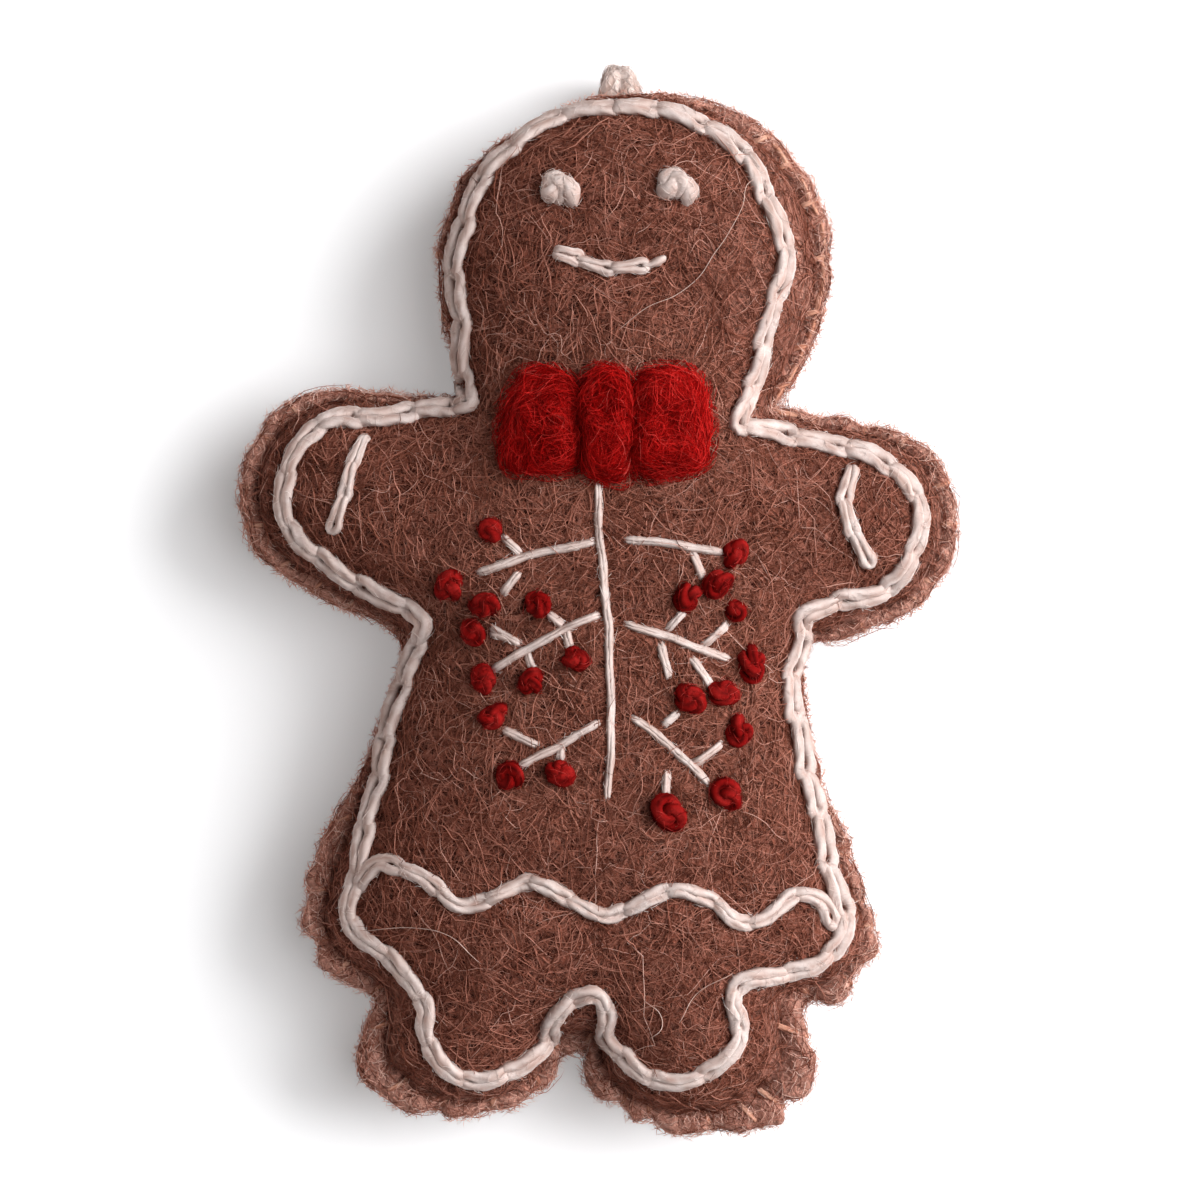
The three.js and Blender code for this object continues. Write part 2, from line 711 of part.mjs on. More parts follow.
function addKnot(name, x, y, diameter, material) {
  const { at, normal } = onFront(x, y);
  const height = diameter * KNOT_HEIGHT_SHARE;
  const knot = new THREE.SphereGeometry(diameter / 2, 8, 6);
  knot.rotateX(Math.PI / 2);
  knot.scale(1, 1, KNOT_HEIGHT_SHARE);
  const mesh = add(name, welded(knot), material);
  mesh.quaternion.setFromUnitVectors(new THREE.Vector3(0, 0, 1), normal);
  mesh.position.copy(at).addScaledVector(normal, height / 2 + CLEARANCE);
}

// The sprig: each branch runs from the stem to the berry at its tip, and each twig leaves its branch
// at a share of the branch's length and runs to a berry, or to a bare tip. A close berry sits so near
// its branch that no twig shows.
const stem = [[0.5, 5.6], [0.9, -2.8], [1.3, -11.2], [1, -19.4]];
const sprig = [
  {
    name: 'left_branch_1', root: [-0.8, 7.3], bend: [-6.1, 6.4], berry: [-15.4, 3.1],
    twigs: [{ at: 0.5, berry: [-11.2, 8.8] }, { at: 0.42, berry: [-11.8, 1.2] }],
  },
  {
    name: 'left_branch_2', root: [-0.4, -0.3], bend: [-4.5, -1.9], berry: [-11.9, -7],
    twigs: [
      { at: 0.55, berry: [-12.8, -2.1] }, { at: 0.22, berry: [-6.3, 1.1] },
      { at: 0.18, berry: [-2.4, -4.8] },
    ],
    close: [[-6.9, -7.1]],
  },
  {
    name: 'left_branch_3', root: [0, -11.3], bend: [-4.2, -13.6], berry: [-9.2, -17.1],
    twigs: [{ at: 0.62, berry: [-10.9, -10.9] }],
    close: [[-4, -16.9]],
  },
  {
    name: 'right_branch_1', root: [2.6, 7.7], bend: [8, 7.3], berry: [14.4, 6.4],
    twigs: [{ at: 0.6, berry: [12.5, 3.1] }],
  },
  {
    name: 'right_branch_2', root: [2.9, -1], bend: [8, -2.5], berry: [15.7, -5.3],
    twigs: [
      { at: 0.32, berry: [9.3, 1.8] }, { at: 0.62, berry: [14.3, 0.3] },
      { at: 0.26, tip: [7.3, -6.7] }, { at: 0.53, berry: [13, -8.4] },
    ],
  },
  {
    name: 'right_branch_3', root: [3.5, -10.7], bend: [7.8, -14.1], berry: [13.2, -19],
    twigs: [
      { at: 0.27, berry: [9.6, -9] }, { at: 0.62, berry: [14.6, -12.5] }, { at: 0.33, berry: [7.3, -21] },
    ],
  },
];

const SHORTEST_TWIG = 0.6;

// How far along a twig its end clears the thread of the branch it leaves, at their angle.
function offBranch(branch, at, end) {
  const half = THREAD_DIAMETER / 2;
  const along = branch.getTangentAt(at);
  const heading = end.clone().sub(branch.getPointAt(at)).normalize();
  return (half + CLEARANCE + half * Math.abs(heading.dot(along))) / Math.abs(heading.cross(along));
}

// A straight stitch from one place towards another, cut back at both ends.
function straight(name, from, to, startCut, endCut) {
  const line = new THREE.LineCurve(from, to);
  const length = line.getLength();
  if (length - startCut - endCut < SHORTEST_TWIG) {
    return;
  }
  const cut = new THREE.LineCurve(line.getPointAt(startCut / length), line.getPointAt(1 - endCut / length));
  add(name, onFelt(spacedAlong(cut, 2), THREAD_DIAMETER, THREAD_DIAMETER, 6), creamFloss());
}

function addSprig() {
  const bowFoot = BOW_Y - BOW_HEIGHT / 2 - 2 * CLEARANCE;
  const stemLine = curveThrough([[0.2, bowFoot], ...stem]);
  add('stem_stitch', onFelt(spacedAlong(stemLine, 3), THREAD_DIAMETER, THREAD_DIAMETER, 6), creamFloss());
  const toBerry = BERRY_DIAMETER / 2 + CLEARANCE;
  let berries = 0;
  const addBerry = ([x, y]) => {
    berries += 1;
    addKnot(`berry_${String(berries).padStart(2, '0')}`, x, y, BERRY_DIAMETER, redFloss());
  };
  for (const { name, root, bend, berry, twigs, close } of sprig) {
    const line = curveThrough([root, bend, berry]);
    const length = line.getLength();
    const steps = Math.ceil(length / 3);
    const share = 1 - toBerry / length;
    const route = Array.from({ length: steps + 1 }, (_, step) => line.getPointAt((share * step) / steps));
    add(`${name}_stitch`, onFelt(route, THREAD_DIAMETER, THREAD_DIAMETER, 6), creamFloss());
    [berry, ...(close ?? [])].forEach(addBerry);
    twigs.forEach((twig, index) => {
      const end = new THREE.Vector2(...(twig.berry ?? twig.tip));
      const startCut = offBranch(line, twig.at, end);
      const endCut = twig.berry ? toBerry : 0;
      straight(`${name}_twig_${index + 1}`, line.getPointAt(twig.at), end, startCut, endCut);
      if (twig.berry) {
        addBerry(twig.berry);
      }
    });
  }
}

// The bow: three wool pads cut to lie on the felt.
function addBow() {
  const floor = frontOuter.map((v) => v.clone().setZ(0));
  const felt = solidOf(closedBetween(raised(frontOuter, CLEARANCE), floor, skin, 0));
  const lobeX = BOW_KNOT_WIDTH / 2 + CLEARANCE + BOW_LOBE_WIDTH / 2;
  const pads = [
    { name: 'bow_left_lobe', x: BOW_X - lobeX, width: BOW_LOBE_WIDTH },
    { name: 'bow_knot', x: BOW_X, width: BOW_KNOT_WIDTH },
    { name: 'bow_right_lobe', x: BOW_X + lobeX, width: BOW_LOBE_WIDTH },
  ];
  for (const { name, x, width } of pads) {
    const { at } = onFront(x, BOW_Y);
    const block = new RoundedBoxGeometry(width, BOW_HEIGHT, BOW_RISE + BOW_ROOT, 2, BOW_ROUNDING);
    block.translate(x, BOW_Y, at.z + (BOW_RISE - BOW_ROOT) / 2);
    add(name, geometryOf(solidOf(block).subtract(felt)), redWool());
  }
}

// Whip stitches round the rim, as one thread that goes over the edge from face to face and stays
// clear of the loop's exit.
function addSeamThread() {
  const reach = SEAM_THREAD_DIAMETER / 2 + CLEARANCE;
  const open = CORD_DIAMETER + 2 * SEAM_THREAD_DIAMETER + CLEARANCE;
  const loopPlace = new THREE.Vector2(LOOP_X, rimTop);
  const edge = new THREE.CurvePath();
  outlineCurves(rim).forEach((curve) => edge.add(curve));
  const total = edge.getLength();
  const spots = edge.getSpacedPoints(2 * Math.round(total / SEAM_STITCH_PITCH)).slice(0, -1);
  const gaps = spots.map((place) => place.distanceTo(loopPlace));
  const nearest = gaps.indexOf(Math.min(...gaps));
  const turned = [...spots.slice(nearest), ...spots.slice(0, nearest)];
  const swing = FLANGE_TOP - SEAM_THREAD_DIAMETER;
  const points = [];
  const normals = [];
  turned.forEach((place, i) => {
    const before = turned.at(i - 1);
    const after = turned[(i + 1) % turned.length];
    const out = new THREE.Vector3(before.y - after.y, after.x - before.x, 0).normalize();
    if (place.distanceTo(loopPlace) > open) {
      const z = SEAM_Z + (i % 2 ? swing : -swing);
      points.push(new THREE.Vector3(place.x + out.x * reach, place.y + out.y * reach, z));
      normals.push(out);
    }
  });
  const thread = ribbon(points, normals, SEAM_THREAD_DIAMETER, SEAM_THREAD_DIAMETER, 4, false);
  add('seam_thread', thread, seamCotton());
}

// Hanging loop: the base is held in the seam, the neck hangs from it behind the head, and the folded
// part lies on the resting surface under the head, where it swings about the neck's foot.
function addLoop() {
  const radius = CORD_DIAMETER / 2;
  const neckY = rimTop + LOOP_REACH;
  const baseEnd = neckY - radius - CLEARANCE;
  const base = seamBar(2 * CORD_DIAMETER, LOOP_BASE_HEIGHT, rimTop - LOOP_BASE_DEPTH, baseEnd);
  add('loop_base', welded(base), creamCord());
  const foldZ = radius + LOOP_FLOOR_GAP;
  const footZ = foldZ + CORD_DIAMETER + CLEARANCE;
  const neck = new THREE.CapsuleGeometry(radius, SEAM_Z - footZ, 3, 8);
  neck.rotateX(Math.PI / 2);
  neck.scale(2, 1, 1);
  neck.translate(LOOP_X, neckY, (SEAM_Z + footZ) / 2);
  add('loop_neck', welded(neck), creamCord());
  const half = LOOP_SPREAD / 2;
  const narrow = radius + CLEARANCE;
  const strand = [
    [-narrow, 0],
    [-narrow - 0.4, -4],
    [-half * 0.7, -LOOP_LENGTH * 0.4],
    [-half, -LOOP_LENGTH + half * 1.4],
    [-half * 0.68, -LOOP_LENGTH + half * 0.3],
    [0, -LOOP_LENGTH],
  ];
  const back = strand.slice(0, -1).reverse().map(([x, y]) => [-x, y]);
  const route = [...strand, ...back].map(([x, y]) => new THREE.Vector3(LOOP_X + x, neckY + y, foldZ));
  const curve = new THREE.CatmullRomCurve3(route);
  const section = new THREE.Shape();
  section.absarc(0, 0, radius, 0, Math.PI * 2, false);
  const steps = Math.round(curve.getLength() / (1.6 * CORD_DIAMETER));
  const options = { steps, extrudePath: curve, curveSegments: 4, bevelEnabled: false };
  const bight = new THREE.ExtrudeGeometry(section, options);
  add('loop_bight', welded(bight), creamCord());
}

addPanels();
addStuffing();
addSeamThread();
addOutlineStitch();
addHemStitch();
addFace();
addCuffs();
addSprig();
addBow();
addLoop();

export default group;
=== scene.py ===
import math

import bpy
import numpy as np
from mathutils import Euler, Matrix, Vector
from mathutils.bvhtree import BVHTree
from mathutils.geometry import delaunay_2d_cdt


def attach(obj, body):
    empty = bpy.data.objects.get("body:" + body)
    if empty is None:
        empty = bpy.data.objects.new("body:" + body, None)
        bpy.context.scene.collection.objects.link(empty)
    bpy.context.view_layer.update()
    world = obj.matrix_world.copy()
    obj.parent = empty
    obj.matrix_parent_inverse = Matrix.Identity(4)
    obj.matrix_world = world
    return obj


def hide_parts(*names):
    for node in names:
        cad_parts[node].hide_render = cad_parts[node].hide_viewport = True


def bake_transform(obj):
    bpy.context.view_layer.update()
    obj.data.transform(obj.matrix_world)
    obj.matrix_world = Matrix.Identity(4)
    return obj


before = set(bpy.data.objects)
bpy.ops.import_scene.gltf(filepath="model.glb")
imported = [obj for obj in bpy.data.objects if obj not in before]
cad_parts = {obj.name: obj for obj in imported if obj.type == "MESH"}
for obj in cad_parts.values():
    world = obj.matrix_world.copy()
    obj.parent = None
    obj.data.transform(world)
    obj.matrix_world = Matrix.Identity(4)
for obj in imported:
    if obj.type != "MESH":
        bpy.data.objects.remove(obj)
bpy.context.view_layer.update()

# A stuffed felt gingerbread figure lying on its back. Shapes are worked out in millimetres and
# become metres where a mesh is made. Left and right are as seen from the front.
MM = 0.001

# Felt and seam
FELT_THICKNESS = 2.0
SEAM_GAP = 0.3
SEAM_SHARE = 0.5
FRONT_SWELL = 11.0
BACK_SWELL = 9.5
HEAD_BACK_SWELL = 5.4
BACK_TAPER_Y = (13.0, 25.0)
BACK_FLAT = 0.9
SWELL_REACH = 11.0
SWELL_POWER = 0.62
SEAM_Z = BACK_SWELL - BACK_FLAT + FELT_THICKNESS + SEAM_GAP / 2
FLANGE_TOP = SEAM_GAP / 2 + FELT_THICKNESS

# Limbs of the outline: arcs have a centre and two radii, corners only a place. Each has its values on
# the rim, and how they change on the way in to the outline stitch.
LIMBS = {
    "head": ((4.0, 38.0, 20.8, 17.0), (-1.3, -1.8, -3.3, 0.2)),
    "jaw": ((0.0, 29.5), (0.0, 0.0)),
    "neck_left": ((-13.9, 22.7), (0.9, -0.9)),
    "neck_right": ((18.4, 21.7), (-3.2, -1.8)),
    "hand_left": ((-27.0, 12.8, 10.9, 10.9), (1.7, -0.1, -2.6, -2.6)),
    "hand_right": ((27.1, 9.5, 10.8, 10.8), (-0.9, -0.1, -2.8, -2.8)),
    "armpit_left": ((-20.5, -2.7), (1.9, 1.7)),
    "armpit_right": ((22.4, -4.0), (-1.1, 3.6)),
    "waist_left": ((-23.0, -15.0), (1.0, 2.0)),
    "waist_right": ((20.5, -15.0), (-0.9, 1.0)),
    "hip_left": ((-23.9, -32.0, 7.1, 7.1), (1.6, 0.8, -2.8, -2.8)),
    "hip_right": ((22.4, -33.4, 7.1, 7.1), (-1.1, 0.9, -2.2, -2.2)),
    "notch_left": ((-23.2, -41.2), (3.9, 2.0)),
    "notch_right": ((20.9, -42.0), (-5.1, 3.3)),
    "foot_left": ((-14.8, -46.0, 10.6, 6.9), (2.4, 2.6, -4.2, -0.9)),
    "foot_right": ((10.8, -47.1, 12.0, 7.9), (-2.2, 3.4, -5.2, -1.7)),
    "crotch": ((-2.8, -45.9), (2.0, 5.6)),
}

# Hanging loop
CORD_DIAMETER = 2.2
LOOP_X = 2.3
LOOP_REACH = 1.7
LOOP_FLOOR = 1.2

# Embroidery
LINK_LENGTH = 5.1
FLOSS_RADIUS = 0.67
STITCH_RADIUS = 0.34
STITCH_GAP = 0.15  # from the middle of a straight stitch to each of its two strands
EYE_SIZE = 3.9
EYE_STRAND = 0.98
BERRY_STRAND = 0.66
SEAM_PITCH = 5.4
SEAM_THREAD_RADIUS = 0.32

# The camera looks straight down, with the head up and the frame as wide as the photograph's.
PHOTO_WIDTH = 126.6
PHOTO_CENTRE = (0.21, 1.42)
CAMERA_HEIGHT = 900.0


def linked(name, data):
    """A new object in the scene."""
    thing = bpy.data.objects.new(name, data)
    bpy.context.scene.collection.objects.link(thing)
    return thing


def add_camera():
    data = bpy.data.cameras.new("camera")
    data.sensor_fit = "HORIZONTAL"
    data.angle = 2 * math.atan(PHOTO_WIDTH / 2 / (CAMERA_HEIGHT - SEAM_Z))
    camera = linked("camera", data)
    camera.location = (PHOTO_CENTRE[0] * MM, PHOTO_CENTRE[1] * MM, CAMERA_HEIGHT * MM)
    bpy.context.scene.camera = camera


add_camera()


# Node trees
class Value:
    """A socket of a node tree. Arithmetic on it adds Math nodes."""

    def __init__(self, owner, socket):
        self.owner = owner
        self.socket = socket

    def sibling(self, name):
        """Another output of the same node."""
        return Value(self.owner, self.socket.node.outputs[name])

    def math(self, operation, *others):
        return self.owner.maths(operation, self, *others)

    def __abs__(self):
        return self.math("ABSOLUTE")

    def clamped(self):
        return self.owner.node("ShaderNodeClamp", {"Value": self})

    def between(self, low, high):
        """0 below low, 1 above high, eased in between."""
        inputs = {"Value": self, "From Min": low, "From Max": high}
        return self.owner.node("ShaderNodeMapRange", inputs, interpolation_type="SMOOTHSTEP")


def add_operator(name, operation):
    """Lets an operator take Values, or a Value and a number in either order."""
    setattr(Value, f"__{name}__", lambda left, right: left.owner.maths(operation, left, right))
    setattr(Value, f"__r{name}__", lambda right, left: right.owner.maths(operation, left, right))


add_operator("add", "ADD")
add_operator("sub", "SUBTRACT")
add_operator("mul", "MULTIPLY")
add_operator("truediv", "DIVIDE")
add_operator("pow", "POWER")


class Tree:
    """A node tree under construction."""

    def __init__(self, tree):
        self.tree = tree

    def feed(self, socket, value):
        """Links an input to a Value, or sets the input itself."""
        if isinstance(value, Value):
            self.tree.links.new(value.socket, socket)
        else:
            socket.default_value = value

    def node(self, kind, inputs=None, **settings):
        """Adds a node with its settings, and its inputs by name or number. Gives its first output."""
        node = self.tree.nodes.new(kind)
        for name, value in settings.items():
            if name == "stops":
                self.set_stops(node.color_ramp, value)
            else:
                setattr(node, name, value)
        for name, value in (inputs or {}).items():
            if isinstance(name, int):
                slot = node.inputs[name]
            else:
                slot = next(s for s in node.inputs if s.enabled and s.name == name)
            self.feed(slot, value)
        shown = [s for s in node.outputs if s.enabled]
        return Value(self, shown[0]) if shown else None

    def set_stops(self, ramp, stops):
        while len(ramp.elements) < len(stops):
            ramp.elements.new(1.0)
        for element, (place, colour) in zip(ramp.elements, stops):
            element.position = place
            element.color = colour

    def maths(self, operation, *values):
        return self.node("ShaderNodeMath", dict(enumerate(values)), operation=operation)

    def vector(self, operation, *values):
        return self.node("ShaderNodeVectorMath", dict(enumerate(values)), operation=operation)

    def scaled(self, vector, factor):
        return self.node("ShaderNodeVectorMath", {0: vector, "Scale": factor}, operation="SCALE")

    def joined(self, x, y, z=0.0):
        return self.node("ShaderNodeCombineXYZ", {"X": x, "Y": y, "Z": z})

    def noise(self, vector, scale, detail=2.0, roughness=0.5, distortion=0.0):
        inputs = {"Vector": vector, "Scale": scale, "Detail": detail, "Roughness": roughness,
                  "Distortion": distortion}
        return self.node("ShaderNodeTexNoise", inputs)

    def mixed(self, factor, low, high):
        return self.node("ShaderNodeMix", {"Factor": factor, "A": low, "B": high}, data_type="RGBA")


class ShapeTree(Tree):
    """A Geometry Nodes tree with named inputs for its sizes."""

    def __init__(self, name, **sizes):
        super().__init__(bpy.data.node_groups.new(name, "GeometryNodeTree"))
        self.identifiers = {}
        self.tree.interface.new_socket("Geometry", in_out="OUTPUT", socket_type="NodeSocketGeometry")
        self.add_input("Geometry", "NodeSocketGeometry")
        self.add_input("Material", "NodeSocketMaterial")
        for key, value in sizes.items():
            kind = "NodeSocketInt" if isinstance(value, int) else "NodeSocketFloat"
            self.add_input(key.replace("_", " "), kind).default_value = value
        entry = self.node("NodeGroupInput").socket.node
        self.entry = {s.name: Value(self, s) for s in entry.outputs if s.name}

    def add_input(self, title, kind):
        item = self.tree.interface.new_socket(title, in_out="INPUT", socket_type=kind)
        self.identifiers[title] = item.identifier
        return item

    def __getitem__(self, title):
        return self.entry[title]

    def stored(self, geometry, name, value, kind="FLOAT", domain="POINT"):
        """The geometry with a named attribute."""
        inputs = {"Geometry": geometry, "Name": name, "Value": value}
        return self.node("GeometryNodeStoreNamedAttribute", inputs, data_type=kind, domain=domain)

    def named(self, name):
        return self.node("GeometryNodeInputNamedAttribute", {"Name": name}, data_type="FLOAT")

    def swept(self, curve, profile, scale):
        """A closed tube along the curve, with its scale in a named attribute."""
        inputs = {"Curve": curve, "Profile Curve": profile, "Scale": self.named(scale), "Fill Caps": True}
        return self.node("GeometryNodeCurveToMesh", inputs)

    def finish(self, geometry):
        """Ends the tree in realised, smooth-shaded geometry with its material."""
        smooth = self.node("GeometryNodeSetShadeSmooth", {"Geometry": geometry})
        real = self.node("GeometryNodeRealizeInstances", {"Geometry": smooth})
        done = self.node("GeometryNodeSetMaterial", {"Geometry": real, "Material": self["Material"]})
        self.node("NodeGroupOutput", {"Geometry": done})
        return self

    def grow(self, name, host_mesh, material, **sizes):
        """A plain mesh piece: the tree's result on the host mesh."""
        host = linked(name + "_host", host_mesh)
        modifier = host.modifiers.new("shape", "NODES")
        modifier.node_group = self.tree
        modifier[self.identifiers["Material"]] = material
        for key, value in sizes.items():
            modifier[self.identifiers[key.replace("_", " ")]] = value
        shaped = host.evaluated_get(bpy.context.evaluated_depsgraph_get())
        mesh = bpy.data.meshes.new_from_object(shaped)
        mesh.name = name
        bpy.data.objects.remove(host)
        return linked(name, mesh)


# Curves and polylines
def along(points):
    """Distance of each point from the first, along the polyline."""
    steps = np.linalg.norm(np.diff(points, axis=0), axis=1)
    return np.concatenate([[0.0], np.cumsum(steps)])


def spaced(points, count):
    """Points at even distances along a polyline, both ends included."""
    places = along(points)
    wanted = np.linspace(0.0, places[-1], count)
    return np.column_stack([np.interp(wanted, places, points[:, k]) for k in range(points.shape[1])])


def through(points, count):
    """A smooth curve through the points, at even distances."""
    points = np.asarray(points, float)
    ends = [2 * points[0] - points[1], *points, 2 * points[-1] - points[-2]]
    t = np.linspace(0.0, 1.0, 24, endpoint=False)[:, None]
    spans = []
    for a, b, c, d in zip(ends, ends[1:], ends[2:], ends[3:]):
        bend = 2 * a - 5 * b + 4 * c - d
        turn = 3 * (b - c) + d - a
        spans.append(b + 0.5 * ((c - a) * t + bend * t ** 2 + turn * t ** 3))
    return spaced(np.vstack([*spans, points[-1:]]), count)


def arc(limb, start, end):
    """A curve round a limb's centre, between two angles in degrees."""
    x, y, rx, ry = limb

    def points(t):
        angle = np.radians(start + (end - start) * t)
        return np.column_stack([x + rx * np.cos(angle), y + ry * np.sin(angle)])

    return points


def bent(a, b, c):
    """A quadratic curve from a to c, drawn towards b."""
    a, b, c = (np.asarray(p, float) for p in (a, b, c))

    def points(t):
        t = np.asarray(t, float)[:, None]
        return (1 - t) ** 2 * a + 2 * t * (1 - t) * b + t ** 2 * c

    return points


def line(a, b):
    return bent(a, (np.asarray(a) + np.asarray(b)) / 2, b)


def outline(limbs):
    """The figure's outline clockwise from the left side of the head, as curves."""
    head = limbs["head"]
    head_left = (head[0] - head[2], head[1])
    head_right = (head[0] + head[2], head[1])
    jaw_left = (head_left[0], limbs["jaw"][1])
    jaw_right = (head_right[0], limbs["jaw"][1])
    hand_right = arc(limbs["hand_right"], 85, -75)
    hand_left = arc(limbs["hand_left"], 245, 75)
    hip_right = arc(limbs["hip_right"], 10, -85)
    hip_left = arc(limbs["hip_left"], 250, 170)
    foot_right = arc(limbs["foot_right"], 24, -188)
    foot_left = arc(limbs["foot_left"], 5, -195)

    def first(curve):
        return curve(np.zeros(1))[0]

    def last(curve):
        return curve(np.ones(1))[0]

    return [
        arc(head, 180, 0),
        bent(head_right, jaw_right, limbs["neck_right"]),
        line(limbs["neck_right"], first(hand_right)),
        hand_right,
        line(last(hand_right), limbs["armpit_right"]),
        bent(limbs["armpit_right"], limbs["waist_right"], first(hip_right)),
        hip_right,
        line(last(hip_right), limbs["notch_right"]),
        line(limbs["notch_right"], first(foot_right)),
        foot_right,
        line(last(foot_right), limbs["crotch"]),
        line(limbs["crotch"], first(foot_left)),
        foot_left,
        line(last(foot_left), limbs["notch_left"]),
        line(limbs["notch_left"], first(hip_left)),
        hip_left,
        bent(last(hip_left), limbs["waist_left"], limbs["armpit_left"]),
        line(limbs["armpit_left"], first(hand_left)),
        hand_left,
        line(last(hand_left), limbs["neck_left"]),
        bent(limbs["neck_left"], jaw_left, head_left),
    ]


def limbs_at(share):
    """The limbs at a share of the way from the rim (0) to the outline stitch (1)."""
    return {name: np.array(rim) + share * np.array(change) for name, (rim, change) in LIMBS.items()}


def softened(points, reach):
    """A closed ring with its corners rounded over a few points."""
    shifts = np.arange(-3 * reach, 3 * reach + 1)
    weights = np.exp(-0.5 * (shifts / reach) ** 2)
    total = np.zeros_like(points)
    for shift, weight in zip(shifts, weights / weights.sum()):
        total += weight * np.roll(points, shift, axis=0)
    return total


def ring(share, step):
    """The outline at a share of the way to the outline stitch, with points about a step apart on the rim."""
    fine = np.linspace(0.0, 1.0, 60)
    points = []
    for edge, curve in zip(outline(limbs_at(0)), outline(limbs_at(share))):
        count = max(1, round(along(edge(fine))[-1] / step))
        points.append(curve(np.arange(count) / count))
    return softened(np.vstack(points), max(1, round(0.5 / step)))


def inside(polygon, places):
    """True for each place inside the closed polygon."""
    odd = np.zeros(len(places), bool)
    x, y = places[:, 0], places[:, 1]
    for (ax, ay), (bx, by) in zip(polygon, np.roll(polygon, -1, axis=0)):
        if ay != by:
            crossing = (ay > y) != (by > y)
            odd ^= crossing & (x < (bx - ax) * (y - ay) / (by - ay) + ax)
    return odd


def distance(points, places):
    """Least distance from each place to the points."""
    result = np.full(len(places), np.inf)
    for start in range(0, len(places), 2000):
        part = places[start:start + 2000]
        gaps = np.linalg.norm(part[:, None, :2] - points[None, :, :2], axis=2)
        result[start:start + 2000] = gaps.min(axis=1)
    return result


def nearness(places, x, y, reach):
    """1 at a spot, falling off over the reach."""
    return np.exp(-(np.hypot(places[:, 0] - x, places[:, 1] - y) / reach) ** 2)


def headings_of(points):
    """Unit headings along a polyline, and the unit vectors to their left."""
    headings = np.gradient(points, axis=0)
    headings /= np.linalg.norm(headings, axis=1)[:, None]
    return headings, np.column_stack([-headings[:, 1], headings[:, 0]])


# The stuffed form: a stretched membrane under even pressure, held at the seam
SWELL_STEP = 0.9  # of the grid on which the membrane settles
SWELL_SWEEPS = 420
SWELL_HASTE = 1.8  # each sweep moves a place by this much of what its neighbours ask for


class Swell:
    """Rise of the stuffing over the seam plane, from 0 at the seam to 1."""

    def __init__(self):
        seam = ring(SEAM_SHARE, 1.0)
        step = SWELL_STEP
        self.low = seam.min(axis=0) - 3 * step
        columns, rows = np.ceil((seam.max(axis=0) + 3 * step - self.low) / step).astype(int)
        xs = self.low[0] + step * np.arange(columns)
        ys = self.low[1] + step * np.arange(rows)
        grid = np.stack(np.meshgrid(xs, ys), axis=-1)
        free = inside(seam, grid.reshape(-1, 2)).reshape(rows, columns)
        checker = np.indices(free.shape).sum(axis=0) % 2
        held = 4 + step ** 2 / SWELL_REACH ** 2
        values = np.zeros(free.shape)
        for _ in range(SWELL_SWEEPS):
            for colour in (0, 1):
                around = np.zeros_like(values)
                around[1:-1, 1:-1] = (values[1:-1, :-2] + values[1:-1, 2:]
                                      + values[:-2, 1:-1] + values[2:, 1:-1])
                wanted = (around + step ** 2) / held
                active = free & (checker == colour)
                values[active] += SWELL_HASTE * (wanted - values)[active]
        self.values = values / values.max()

    def __call__(self, places):
        u, v = ((places - self.low) / SWELL_STEP).T
        rows, columns = self.values.shape
        u = np.clip(u, 0, columns - 1.001)
        v = np.clip(v, 0, rows - 1.001)
        i, j = v.astype(int), u.astype(int)
        fu, fv = u - j, v - i
        low = self.values[i, j] * (1 - fu) + self.values[i, j + 1] * fu
        high = self.values[i + 1, j] * (1 - fu) + self.values[i + 1, j + 1] * fu
        return np.clip(low * (1 - fv) + high * fv, 0, None) ** SWELL_POWER


swell = Swell()


def back_rise(y):
    """How far the back swells at a level of the figure."""
    t = np.clip((y - BACK_TAPER_Y[0]) / (BACK_TAPER_Y[1] - BACK_TAPER_Y[0]), 0, 1)
    return BACK_SWELL + (HEAD_BACK_SWELL - BACK_SWELL) * t * t * (3 - 2 * t)


def bumps(places, size, seed):
    """Smooth random unevenness, about -1 to 1, with lumps of the given size."""
    dice = np.random.default_rng(seed)
    waves = 9
    total = np.zeros(len(places))
    for _ in range(waves):
        heading = dice.uniform(0, 2 * math.pi)
        wave = 2 * math.pi / (size * dice.uniform(1.4, 3.0))
        across = places[:, 0] * math.cos(heading) + places[:, 1] * math.sin(heading)
        total += np.sin(across * wave + dice.uniform(0, 2 * math.pi))
    return total / math.sqrt(waves)


# Route of the hanging loop
HEAD_X, HEAD_Y, HEAD_RX, HEAD_RY = LIMBS["head"][0]
LOOP_NECK_Y = HEAD_Y + HEAD_RY * math.sqrt(1 - ((LOOP_X - HEAD_X) / HEAD_RX) ** 2) + LOOP_REACH
# One strand from inside the seam, over the rim, down behind the head and along the resting
# surface to the end of the loop: distance to the left of the loop's middle, y and z.
LOOP_STRAND = [
    (1.20, LOOP_NECK_Y - 6.4, SEAM_Z),
    (1.20, LOOP_NECK_Y - 4.2, SEAM_Z),
    (1.05, LOOP_NECK_Y - 2.2, SEAM_Z + 0.25),
    (0.74, LOOP_NECK_Y - 0.8, SEAM_Z + 0.05),
    (0.34, LOOP_NECK_Y - 0.02, SEAM_Z - 1.10),
    (0.32, LOOP_NECK_Y, SEAM_Z - 3.2),
    (0.60, LOOP_NECK_Y, SEAM_Z - 5.4),
    (0.98, LOOP_NECK_Y - 1.2, SEAM_Z - 8.2),
    (1.20, LOOP_NECK_Y - 4.0, LOOP_FLOOR + 0.15),
    (1.90, LOOP_NECK_Y - 7.0, LOOP_FLOOR),
    (3.85, LOOP_NECK_Y - 12.5, LOOP_FLOOR),
    (5.30, LOOP_NECK_Y - 18.0, LOOP_FLOOR),
    (5.45, LOOP_NECK_Y - 23.0, LOOP_FLOOR),
    (3.60, LOOP_NECK_Y - 27.4, LOOP_FLOOR),
]
